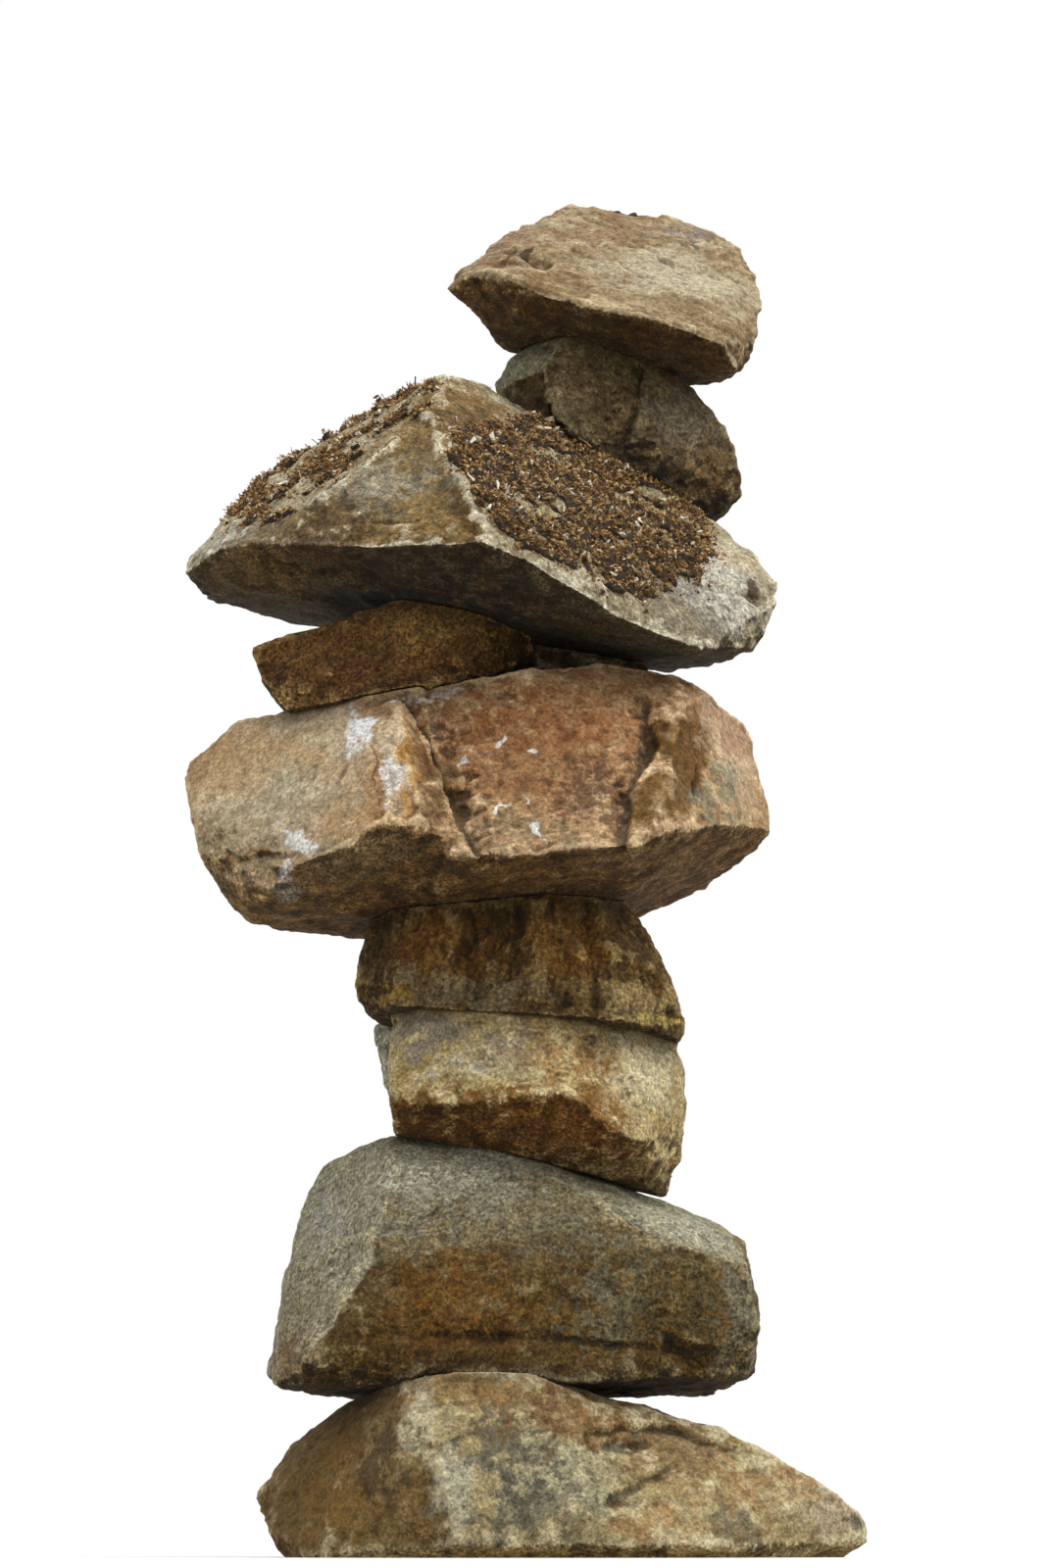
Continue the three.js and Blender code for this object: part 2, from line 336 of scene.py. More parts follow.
def store(stone, name, values):
    """Keeps one number for each corner, for the finish to read."""
    made = stone.data.attributes.new(name, "FLOAT", "POINT")
    made.data.foreach_set("value", np.asarray(values, np.float32))


NEAR_ROUNDS = 4  # rounds of relaxing that take off sand and chips only
FAR_ROUNDS = 60  # rounds, at a cell of 1 mm, that take off the arrises too


def stands_out(stone, cell):
    """How far each corner stands out of the skin round it, in mm: over 8 mm or so, and close by."""
    edges = read(stone.data.edges, "vertices", int, 2)
    points = corners_of(stone)
    normals = normals_of(stone)
    near = relax(points, edges, NEAR_ROUNDS)
    far = relax(near, edges, int(FAR_ROUNDS / cell))
    return ((points - far) * normals).sum(1) / MM, ((points - near) * normals).sum(1) / MM


# %% [markdown]
# ## Carving
# Noise alone makes every stone the same kind of rough. What makes each one itself is a few
# features: a crack, a step where a flake left, a rib, a scoop. Sculpting brushes would draw
# them by hand. Here each is a line with a width and a depth, so it can be read and changed.


# %% Carving
def carve(stone, moves, free):
    """Works lines into the skin. A move is (points along a line, half-width, depth, side), all in
    mm. Minus depths cut in, plus ones pull out; with a side, only that side of the line moves,
    which leaves a step."""
    points = corners_of(stone) / MM
    normals = normals_of(stone)
    ragged = np.array([wobble(Vector(p) / 9) + 0.5 * wobble(Vector(p) / 3.5) for p in points])
    moved = np.zeros(len(points))
    for line, width, depth, *side in moves:
        line = np.array(line, float)
        nearest = np.full(len(points), 1e9)
        away = np.zeros_like(points)
        for start, end in zip(line[:-1], line[1:]):
            run = end - start
            along = np.clip((points - start) @ run / (run @ run), 0, 1)
            offset = points - (start + along[:, None] * run)
            distance = np.linalg.norm(offset, axis=1)
            closer = distance < nearest
            nearest[closer] = distance[closer]
            away[closer] = offset[closer]
        share = np.clip(1 - nearest / width * (1 + 0.5 * ragged), 0, 1)
        if side:
            across = away @ np.array(side[0], float) / np.linalg.norm(side[0])
            share = share * smoothstep(across + 1.5 * ragged, -0.8, 0.8)
        moved += share * depth
    points += normals * (moved * free)[:, None]
    stone.data.vertices.foreach_set("co", (points * MM).ravel())
    stone.data.update()


def keep_planes(stone, name):
    """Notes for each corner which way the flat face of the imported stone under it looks."""
    tree = tree_of(name)
    looks = [tree.find_nearest(v.co)[1] for v in stone.data.vertices]
    made = stone.data.attributes.new("plane", "FLOAT_VECTOR", "POINT")
    made.data.foreach_set("vector", np.array(looks, np.float32).ravel())


# %% [markdown]
# ## One stone from start to finish
# The steps are the same for every stone, so they are one function: copy, bevel, remesh, carve,
# knock the arrises, then roughen in layers. Modifiers could be left live, but applying each one
# at once lets the next step measure the skin that it really has.

# %% Weathering
rocks = {}


def weather(name, neighbours, cell, layers, moves=(), bevel=1.4, knocked=2.4, on_floor=False):
    """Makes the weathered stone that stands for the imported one. `cell` is the size of its faces,
    `bevel` the width of its rounded arrises and `knocked` the depth of their chips, in mm."""
    stone = merged_copy(name.replace("_stone", "") + "_rock", name)
    modify(stone, "BEVEL", width=bevel * MM, segments=2, limit_method="ANGLE", angle_limit=0.35)
    modify(stone, "REMESH", mode="VOXEL", voxel_size=cell * MM, use_smooth_shade=True)
    gap = gaps_to(stone, neighbours)
    free = smoothstep(gap, 0.8, 5.0)
    if on_floor:
        free = free * smoothstep(corners_of(stone)[:, 2] / MM, 0.5, 6.0)
    carve(stone, moves, free)
    weight_group(stone, "free", free)
    weight_group(stone, "edges", free * smoothstep(stands_out(stone, cell)[0], 0.2, 1.0))
    modify(
        stone, "DISPLACE", texture=knocks, strength=knocked * MM, mid_level=0.7,
        vertex_group="edges", texture_coords="LOCAL",
    )
    for texture, strength, middle, space in layers:
        coords = {"texture_coords": "LOCAL"}
        if space is not None:
            coords = {"texture_coords": "OBJECT", "texture_coords_object": space}
        modify(
            stone, "DISPLACE", texture=texture, strength=strength * MM, mid_level=middle,
            vertex_group="free", **coords,
        )
    arris, nicks = stands_out(stone, cell)
    keep_planes(stone, name)
    store(stone, "shelter", gap)
    store(stone, "arris", arris)
    store(stone, "nicks", nicks)
    stone.vertex_groups.clear()
    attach(stone, "root")
    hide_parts(name)
    rocks[name] = stone
    print(stone.name, len(stone.data.polygons), "faces")


# %% [markdown]
# ## Beds and ribs
# Sandstone is laid down in layers, and they show as fine lines: level in the lower stones,
# upright in the ribbed one, slanting in the cap. A texture has no direction of its own, so it is
# laid through an empty that is turned along the layers and stretched. The empties are removed
# once the skins are made.


# %% Bedding planes
def bedding(name, turn, stretch):
    """An empty whose turned and stretched space lays a texture along a stone's layers."""
    bpy.ops.object.empty_add(rotation=[math.radians(a) for a in turn])
    made = bpy.context.object
    made.name = name
    made.scale = stretch
    bpy.context.view_layer.update()
    return made


level_beds = bedding("level_beds", (4, -6, 0), (4.0, 4.0, 0.8))
upright_ribs = bedding("upright_ribs", (3, 8, 0), (0.9, 0.9, 6.0))
slanting_beds = bedding("slanting_beds", (0, 25, 0), (4.0, 4.0, 0.7))
empties = (level_beds, upright_ribs, slanting_beds)
print(len(empties), "directions of bedding")

# %% [markdown]
# ## The stones
# All are made by the same steps. What differs is how coarse the skin is, which way the layers
# of the stone run, and the lines carved into it: the valley and the fin on the slab's face, the
# crack and the scoop in the block, the grooves of the ribbed stone. Those were each found on
# the real stones, so they are listed one by one, each as (points, half-width, depth, side).

# %% Skins
# Each layer is (texture, strength in mm, middle of the texture, empty it is laid through).
ROUGH = (
    (swell, 2.4, 0.5, None), (breaks, 1.3, 0.6, None), (lumps, 0.9, 0.55, None),
    (flakes, 0.9, 0.6, None), (chips, 0.7, 0.6, None), (grit, 0.9, 0.5, None),
    (sand, 0.5, 0.5, None),
)
BEDDED = ROUGH + ((grit, 1.2, 0.5, level_beds),)
RIBBED = ROUGH + ((grit, 3.0, 0.5, upright_ribs), (sand, 1.6, 0.5, upright_ribs))
SLANTED = ROUGH + ((grit, 2.4, 0.5, slanting_beds), (flakes, 1.2, 0.5, slanting_beds))
TORN = ROUGH + ((chips, 1.2, 0.5, None), (grit, 1.0, 0.5, None))

# %% [markdown]
# ## The footing stone
# It is broad and low and carries all the others. A rib runs down its front, a ledge has broken
# out to the right of it, and its base is cut flat so that it stands. It could be sculpted from
# a ball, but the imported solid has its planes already, so only the rib and the ledge are worked
# in, and the skin is held still where it meets the ground.

# %% Footing stone
weather(
    "footing_stone", ["block_stone"], 1.5, BEDDED, [
        ([(-53, -77, 76), (-45, -91, 58), (-41, -96, 47)], 7, 2.5),
        ([(-41, -96, 47), (-35, -100, 32), (-25, -101, 10)], 8, 2.0),
        ([(-60, -86, 45), (-35, -95, 50), (-16, -90, 56)], 4, -1.6, (0, 0, -1)),
        ([(36, -72, 56), (50, -68, 60), (72, -57, 60), (96, -46, 50)], 14, -5.0, (0, 0, -1)),
        ([(44, -74, 50), (58, -67, 52)], 6, -5.0),
        ([(70, -72, 41), (56, -80, 33), (44, -86, 27)], 9, -3.0, (1, 0, -1)),
        ([(-100, -40, 50), (-90, -50, 30)], 16, -2.0),
    ], on_floor=True,
)

# %% [markdown]
# ## The block stone
# This is the biggest and squarest stone. A crack runs level across its face, its left arris is
# proud, and a flake has left its upper right shoulder. A crack is a thin line cut in; a flake is
# a wide one of which only one side moves, so that it leaves a step.

# %% Block stone
weather(
    "block_stone", ["footing_stone", "blond_stone", "prop_stone"], 1.35, BEDDED, [
        ([(-61, -45, 186), (-67, -52, 172), (-65, -63, 159), (-69, -67, 147)], 7, 3.0),
        ([(-69, -67, 147), (-77, -77, 123), (-91, -77, 104), (-113, -52, 84)], 8, 3.5),
        ([(-88, -62, 165), (-84, -60, 140)], 16, -3.5),
        ([(-60, -79, 101), (-18, -77, 100), (18, -76, 99), (45, -74, 96), (72, -67, 94)], 4, -1.1),
        ([(-40, -78, 100), (18, -76, 99), (72, -67, 94)], 12, -1.6, (0, 0, -1)),
        ([(74, -66, 96), (80, -61, 90), (84, -59, 86)], 7, -4.5),
        ([(40, -50, 168), (58, -66, 150), (72, -71, 142), (108, -26, 139)], 10, -4.5, (0, 0.3, 1)),
        ([(-46, -64, 154), (-28, -62, 164), (-8, -56, 175)], 14, -1.6, (1, 0, -1)),
        ([(30, -72, 128), (46, -72, 118), (50, -72, 104)], 8, -1.4, (1, 0, 0)),
    ],
)

# %% [markdown]
# ## The blond and the prop stone
# Two short stones share a level. The blond one is a cushion with a full belly, so most of its
# lines pull out. The prop behind it is plain, and its arrises are rounder: a wider bevel does
# that better than any carving.

# %% Blond stone
weather(
    "blond_stone", ["block_stone", "ribbed_stone", "prop_stone"], 1.0, BEDDED, [
        ([(-62, -55, 214), (-40, -67, 213), (-21, -69, 207)], 6, 2.0),
        ([(-5, -72, 212), (16, -75, 214), (25, -74, 211), (47, -62, 194)], 7, 2.4),
        ([(49, -49, 247), (52, -52, 228), (61, -47, 212)], 8, 2.6),
        ([(36, -60, 236), (44, -57, 226)], 10, -3.2),
        ([(14, -64, 240), (19, -71, 222), (32, -68, 206)], 3, -1.0),
        ([(-62, -52, 236), (-62, -53, 214)], 3.5, -1.6),
        ([(-55, -60, 203), (-30, -64, 200), (0, -66, 196)], 5, -1.6),
        ([(-30, -64, 222), (-10, -68, 224)], 9, -1.2),
    ],
)

# %% Prop stone
weather(
    "prop_stone", ["block_stone", "ribbed_stone", "blond_stone"], 1.3, RIBBED, bevel=6,
)

# %% [markdown]
# ## The ribbed stone
# Its beds stand upright, and rain has washed them into ribs. An Array of one ridge would make
# them all alike. Real ribs differ in width and depth, so each one is a line of its own, and a
# fine grain stretched upright joins them.

# %% Ribbed stone
weather(
    "ribbed_stone", ["blond_stone", "prop_stone", "rust_slab"], 1.0, RIBBED, [
        ([(-20, -53, 303), (-19, -59, 278), (-17, -64, 256)], 7, -5.0),
        ([(-8, -54, 302), (-8, -59, 284), (-5, -61, 270)], 7, -4.0),
        ([(3, -54, 304), (0, -58, 286), (-1, -61, 270)], 5, -3.6),
        ([(12, -53, 307), (13, -59, 283), (12, -64, 260)], 8, 5.0),
        ([(-32, -52, 303), (-31, -59, 280)], 7, 2.5),
        ([(38, -50, 298), (39, -55, 282), (39, -64, 256)], 8, -5.0),
        ([(26, -53, 303), (26, -59, 282), (26, -65, 258)], 5, -2.0),
        ([(-46, -52, 300), (-44, -60, 270)], 6, -2.0),
        ([(44, -51, 284), (60, -42, 279), (72, -34, 272)], 6, 3.0),
        ([(40, -64, 257), (56, -60, 254), (76, -36, 254)], 5, -3.0),
        ([(-74, -45, 264), (-45, -61, 265), (-22, -64, 258)], 5, -2.4),
        ([(20, -64, 264), (24, -64, 258)], 6, -3.4),
    ], bevel=2.5,
)

# %% [markdown]
# ## The rust slab
# The widest stone has a valley down its face with an upright fin beside it. The valley is a wide
# cut with one steep side and the fin a narrow pull. A boolean cut would give both a machined
# edge, while lines frayed by noise give a broken one.

# %% Rust slab
weather(
    "rust_slab", ["ribbed_stone", "wedge_stone", "shim_stone"], 1.45, ROUGH, [
        ([(-58, -70, 403), (-54, -84, 380), (-50, -91, 360), (-44, -101, 336)], 9, 4.5),
        ([(-52, -70, 402), (-40, -79, 381), (-34, -86, 361), (-26, -94, 338), (-18, -102, 319)],
         15, -9.0, (1, 0, 0.4)),
        ([(6, -76, 385), (28, -82, 362), (4, -86, 352)], 30, -4.0),
        ([(67, -54, 408), (70, -63, 386), (57, -81, 356), (54, -94, 332)], 12, -6.0, (-1, 0, 0)),
        ([(76, -52, 408), (78, -60, 386), (74, -72, 364), (68, -84, 344)], 10, 2.0),
        ([(86, -47, 400), (90, -52, 380), (88, -60, 362)], 10, -3.0, (1, 0, 0)),
        ([(-78, -78, 372), (-88, -85, 355), (-101, -84, 338), (-110, -80, 330)], 3, -1.2),
        ([(-152, -50, 340), (-134, -62, 328), (-112, -80, 328)], 10, -3.0, (0, 0, -1)),
        ([(-70, -76, 400), (-68, -88, 378), (-70, -98, 352)], 3, -1.0),
        ([(-89, -70, 312), (-78, -88, 322), (-64, -104, 335), (-42, -100, 335)], 6, 2.0),
        ([(-30, -96, 322), (0, -98, 321), (53, -97, 328), (84, -72, 343)], 5, 1.5),
    ], knocked=3.0,
)

# %% [markdown]
# ## The wedge and the shim stone
# The wedge makes the slab's top level enough for the roof stone, and the thin shim fills the gap
# behind it. Both are small and smooth, so few lines are enough.

# %% Wedge stone
weather(
    "wedge_stone", ["rust_slab", "roof_stone", "shim_stone"], 1.0, ROUGH, [
        ([(-50, -53, 458), (-44, -58, 441), (-27, -50, 424)], 7, 2.0),
        ([(-36, -54, 456), (-31, -56, 441)], 3, -1.2),
        ([(-14, -46, 452), (-10, -44, 434)], 9, -2.5, (1, 0, 0)),
    ],
)

# %% Shim stone
weather(
    "shim_stone", ["rust_slab", "roof_stone", "wedge_stone"], 1.3, ROUGH,
)

# %% [markdown]
# ## The roof stone
# Two slopes meet in a ridge, and three arrises run down to the front from its end. Weathering
# would wear them away, so they are pulled out a little first, and the facet between them is
# hollowed. Small notches break the right end.

# %% Roof stone
weather(
    "roof_stone", ["wedge_stone", "shim_stone", "saddle_stone"], 1.5, ROUGH, [
        ([(-44, -52, 560), (-37, -76, 532), (-25, -90, 508), (-16, -108, 478)], 6, 3.5),
        ([(-58, -64, 541), (-74, -72, 526), (-90, -76, 512), (-106, -76, 499)], 6, 2.6),
        ([(-50, -72, 528), (-46, -90, 500), (-60, -90, 494)], 20, -3.2),
        ([(-126, -66, 489), (-88, -91, 477), (-52, -105, 472), (-16, -110, 473)], 6, 1.8),
        ([(-118, -50, 478), (-96, -62, 473), (-70, -66, 468)], 14, -3.0),
        ([(0, -84, 456), (40, -62, 444)], 12, -3.5),
        ([(-70, -84, 494), (-58, -92, 490), (-48, -96, 489)], 3.5, -1.8, (0, 0, -1)),
        ([(122, -9, 478), (125, -6, 474)], 6, -4.5),
        ([(96, -30, 480), (112, -18, 470), (112, -12, 458)], 8, -2.0, (1, 0, 0)),
        ([(-150, -44, 494), (-138, -56, 500)], 10, -2.0),
    ], knocked=3.0,
)

# %% [markdown]
# ## The saddle stone
# It is dark, upright and torn rather than split. Two scoops with one steep side each leave a
# spine between them, and the skin has one more layer of chips than the others.

# %% Saddle stone
weather(
    "saddle_stone", ["roof_stone", "cap_stone"], 1.0, TORN, [
        ([(26, 12, 634), (14, 6, 612), (16, 1, 588), (32, 3, 564)], 5, 3.5),
        ([(26, 12, 634), (14, 6, 612), (16, 1, 588), (32, 3, 564)], 16, -5.0, (-1, 0, -0.2)),
        ([(70, 17, 606), (66, 9, 584), (60, 7, 570)], 16, -5.5, (-1, 0, 0)),
        ([(36, 12, 604), (44, 10, 586)], 16, -2.0),
        ([(24, 12, 626), (-2, 26, 618), (-14, 32, 608)], 4, -1.4, (0, 0, -1)),
    ], bevel=2.0,
)

# %% [markdown]
# ## The cap stone
# The topmost stone is shaped like a boat, and its beds slant. Notches break its lower front
# arris, and long shallow steps follow the beds. Its grain is laid along the same slant.

# %% Cap stone
weather(
    "cap_stone", ["saddle_stone"], 1.1, SLANTED, [
        ([(-2, 21, 684), (6, 15, 677), (14, 9, 669)], 7, -6.0),
        ([(16, 6, 664), (30, -2, 652), (34, -8, 646)], 8, -2.5),
        ([(-16, 20, 678), (-8, 12, 668)], 7, -3.0),
        ([(-36, 24, 662), (-20, 14, 664), (0, -9, 649)], 6, 2.0),
        ([(30, -18, 634), (50, -22, 628), (69, -25, 621), (108, -5, 616)], 6, 2.4),
        ([(60, 10, 640), (80, 0, 632)], 10, -1.6),
        ([(70, 50, 716), (74, 30, 700)], 8, -2.5, (1, 0, 0)),
        ([(25, 56, 722), (57, 42, 702), (87, 20, 668), (116, 15, 640)], 6, -1.4, (1, 0, 1)),
        ([(8, 44, 706), (40, 30, 688), (66, 8, 660)], 6, -1.2, (1, 0, 1)),
        ([(96, 52, 704), (100, 46, 696)], 5, -2.0),
    ], bevel=2.0,
)

# %% Remove the empties
for empty in empties:
    bpy.data.objects.remove(empty)
print(len(rocks), "stones weathered")

# %% [markdown]
# ## The finish of the stones
# Sandstone's colour comes in layers too. Broad clouds of iron stain run through it, a finer
# mottle breaks those up, and every grain of sand is a little lighter or darker than the next.
# Knocked arrises show the paler stone inside, and painted shade darkens hollows, the skin near
# the seats and undersides. One function lays all of these down in order, and each stone gives it
# its own tones and a list of marks: a mark is a soft blot of one tone at a place on that stone.


# %% Tones
def tone(code):
    """A colour written as on screen, turned into the light values that shaders use."""
    parts = [int(code[i : i + 2], 16) / 255 for i in (0, 2, 4)]
    return tuple(((v + 0.055) / 1.055) ** 2.4 if v > 0.04 else v / 12.92 for v in parts) + (1.0,)


def ramp(tree, value, stops):
    """A colour that runs through the given tones as the value rises."""
    made = node(tree, "ShaderNodeValToRGB", None, {0: value})
    band = made.color_ramp
    while len(band.elements) < len(stops):
        band.elements.new(0.5)
    for element, (place, colour) in zip(band.elements, stops):
        element.position = place
        element.color = colour
    return made.outputs[0]


def noise(tree, point, scale, detail=4.0, rough=0.6):
    """Soft clouds; scale is how many fit in a metre."""
    made = node(
        tree, "ShaderNodeTexNoise", None,
        {"Vector": point, "Scale": scale, "Detail": detail, "Roughness": rough},
    )
    return made.outputs


def vector(tree, operation, a, b):
    """One sum on two points or directions."""
    return node(tree, "ShaderNodeVectorMath", {"operation": operation}, {0: a, 1: b}).outputs[0]


def scaled(tree, colour, factor):
    """Brightens or darkens a colour."""
    made = node(tree, "ShaderNodeVectorMath", {"operation": "SCALE"}, {0: colour, 3: factor})
    return made.outputs[0]


def stored(tree, name, socket="Fac"):
    """What was stored for each corner under a name."""
    return node(tree, "ShaderNodeAttribute", {"attribute_name": name}).outputs[socket]


# %% A mark: one blot of tone
def mark(tree, wander, blotted, colour, spot):
    """Lays one blot over the colour. A spot is (tone, place, half-sizes, strength, raggedness,
    turn); places and sizes are in mm, and the turn about the front-to-back axis in degrees."""
    code, place, half, strength, broken_up = spot[:5]
    offset = vector(tree, "SUBTRACT", wander, [v * MM for v in place])
    if len(spot) > 5:
        offset = node(
            tree, "ShaderNodeVectorRotate", {"rotation_type": "Y_AXIS"},
            {"Vector": offset, "Angle": math.radians(spot[5])},
        ).outputs[0]
    offset = vector(tree, "DIVIDE", offset, [v * MM for v in half])
    far = node(tree, "ShaderNodeVectorMath", {"operation": "LENGTH"}, {0: offset}).outputs[1]
    ragged = total(tree, (far, 1), (blotted, broken_up))
    inside = remap(tree, ragged, 1.15, 0.55, 0.0, strength)
    return blend(tree, inside, colour, tone(code))


# %% Clouds that tones and relief are read from
DRIFT = 0.045  # metres by which the rims of stains and marks wander
DRIFT_SCALE = 38.0  # this and the next ones say how many clouds fit in a metre
STAIN_SCALE = 17.0
MOTTLE_SCALE = 110.0
STREAK_SCALE = 60.0
GRAIN_SCALE = 640.0
CRYSTAL_SCALE = 620.0
TONE_SPREAD = 0.15  # how far from the middle of the clouds the darkest tone begins


def clouds_in(tree):
    """The clouds of one stone, from the broadest down to its crystals."""
    point = node(tree, "ShaderNodeTexCoord").outputs["Object"]
    stray = vector(tree, "SUBTRACT", noise(tree, point, DRIFT_SCALE, 3.0)[1], (0.5, 0.5, 0.5))
    wander = vector(tree, "ADD", point, scaled(tree, stray, DRIFT))
    broad = noise(tree, wander, STAIN_SCALE, 6.0, 0.66)[0]
    mottle = noise(tree, point, MOTTLE_SCALE, 6.0, 0.72)[0]
    grain = noise(tree, point, GRAIN_SCALE, 5.0, 0.80)[0]
    cells = node(tree, "ShaderNodeTexVoronoi", None, {"Vector": point, "Scale": CRYSTAL_SCALE})
    crystal = node(tree, "ShaderNodeSeparateXYZ", None, {0: cells.outputs[1]}).outputs[0]
    return wander, broad, mottle, grain, crystal


def ground_tone(tree, wander, broad, mottle, tones, streaks, contrast):
    """The stone's four tones, dark to pale, run through by its clouds and streaks."""
    value = total(tree, (broad, 0.6), (mottle, 0.4))
    if streaks is not None:
        turn, stretch, share = streaks
        turn = [math.radians(a) for a in turn]
        sockets = {"Vector": wander, "Rotation": turn, "Scale": stretch}
        laid = node(tree, "ShaderNodeMapping", None, sockets).outputs[0]
        lines = noise(tree, laid, STREAK_SCALE, 4.0, 0.65)[0]
        value = total(tree, (value, 1 - share), (lines, share))
    spread = TONE_SPREAD / contrast
    places = [0.5 - spread, 0.5 - spread / 4, 0.5 + spread / 2.5, 0.5 + spread * 1.1]
    return ramp(tree, value, [(p, tone(c)) for p, c in zip(places, tones)])


# %% Tones that follow the shape
def faced(tree, colour, blotted, facing):
    """Lays a tone over the flat faces that look a given way: (tone, way, from, to, strength)."""
    plane = stored(tree, "plane", "Vector")
    for code, way, least, most, strength in facing:
        unit = Vector(way).normalized()
        turned = node(
            tree, "ShaderNodeVectorMath", {"operation": "DOT_PRODUCT"}, {0: plane, 1: unit}
        ).outputs[1]
        turned = total(tree, (turned, 1), (blotted, 0.35))
        colour = blend(tree, remap(tree, turned, least, most, 0.0, strength), colour, tone(code))
    return colour


def shades(tree, blotted, mottle, grain, crystal, gritty, up):
    """Factors that light or darken the stone: painted shade in hollows, in nicks and near the seats,
    then sand, crystals, and more mottled undersides.
    """
    arris, nicks = stored(tree, "arris"), stored(tree, "nicks")
    seat_shade = total(tree, (stored(tree, "shelter"), 1), (blotted, 12.0))
    lively = [remap(tree, up, 0.0, -0.5, 1.0, end) for end in (0.45, 1.7, 0.5, 1.6)]
    return (
        remap(tree, nicks, 0.0, -0.30, 1.0, 0.62),  # painted shade in the nicks, the small hollows
        remap(tree, nicks, 0.02, 0.30, 1.0, 1.16),  # and what stands proud of them is pale
        remap(tree, grain, 0.34, 0.66, 1.0 - 0.46 * gritty, 1.0 + 0.44 * gritty),
        remap(tree, crystal, 0.0, 1.0, 1.0 - 0.24 * gritty, 1.0 + 0.22 * gritty),
        remap(tree, mottle, 0.3, 0.7, 0.88, 1.12),
        remap(tree, seat_shade, 0.0, 22.0, 0.58, 1.0),  # painted shade near the seats
        remap(tree, arris, -0.3, -2.4, 1.0, 0.55),  # painted shade in wide hollows
        remap(tree, grain, 0.36, 0.64, lively[0], lively[1]),  # undersides are more mottled
        remap(tree, mottle, 0.36, 0.64, lively[2], lively[3]),
    )


# %% The stone finish
RELIEF = 2.3  # mm of bump between the darkest and the palest grain


def stone_finish(
    name, tones, marks=(), facing=(), under="3a2c18", under_share=0.75, worn="c9bfa4",
    worn_share=0.6, streaks=None, gritty=1.0, contrast=1.0, beneath=(),
):
    """A stone's material. Worn tone lies on its arrises, under tone as painted shade on its
    undersides, and the marks `beneath` over that; `gritty` is how strong its sand is."""
    made = bpy.data.materials.new(name)
    made.use_nodes = True
    tree = made.node_tree
    shader = tree.nodes["Principled BSDF"]
    wander, broad, mottle, grain, crystal = clouds_in(tree)
    blotted = calc(tree, "SUBTRACT", mottle, 0.5)
    colour = ground_tone(tree, wander, broad, mottle, tones, streaks, contrast)
    colour = faced(tree, colour, blotted, facing)

    rubbed = total(tree, (stored(tree, "arris"), 1), (blotted, 5.0))
    colour = blend(tree, remap(tree, rubbed, 0.5, 2.2, 0.0, worn_share), colour, tone(worn))
    for spot in marks:
        colour = mark(tree, wander, blotted, colour, spot)
    thin = remap(tree, rubbed, 0.9, 2.6, 0.0, worn_share * 0.5)
    colour = blend(tree, thin, colour, tone(worn))

    # Painted shade: the under tone darkens the faces that look down.
    outward = node(tree, "ShaderNodeNewGeometry").outputs["Normal"]
    up = node(tree, "ShaderNodeSeparateXYZ", None, {0: outward}).outputs[2]
    tipped = total(tree, (up, 1), (blotted, 0.8))
    dark = remap(tree, tipped, -0.15, -0.6, 0.0, under_share)
    colour = blend(tree, dark, colour, tone(under))
    for spot in beneath:
        colour = mark(tree, wander, blotted, colour, spot)
    for factor in shades(tree, blotted, mottle, grain, crystal, gritty, up):
        colour = scaled(tree, colour, factor)
    tree.links.new(colour, shader.inputs["Base Color"])

    rough = remap(tree, mottle, 0.3, 0.7, 0.98, 0.8)
    tree.links.new(rough, shader.inputs["Roughness"])
    shader.inputs["Specular IOR Level"].default_value = 0.3
    relief = total(tree, (grain, 0.55), (crystal, 0.10), (mottle, 0.9))
    sockets = {"Strength": 0.9, "Distance": RELIEF * MM * gritty, "Height": relief}
    bump = node(tree, "ShaderNodeBump", None, sockets)
    tree.links.new(bump.outputs[0], shader.inputs["Normal"])
    return made


def dress(node_name, made):
    """Gives a stone its finish and prints how many nodes that finish is made of."""
    rocks[node_name].data.materials.append(made)
    print(node_name, "wears", made.name, "made of", len(made.node_tree.nodes), "nodes")


# %% [markdown]
# ## Buff sandstone for the footing
# The left face is brown, the rest buff, with dark lichen low on the front and a pale, chipped tip.
# A whole face takes its tone from the way it looks, which follows every arris exactly. Spots that
# follow nothing are marks: (tone, place, half-sizes, strength, raggedness, turn).

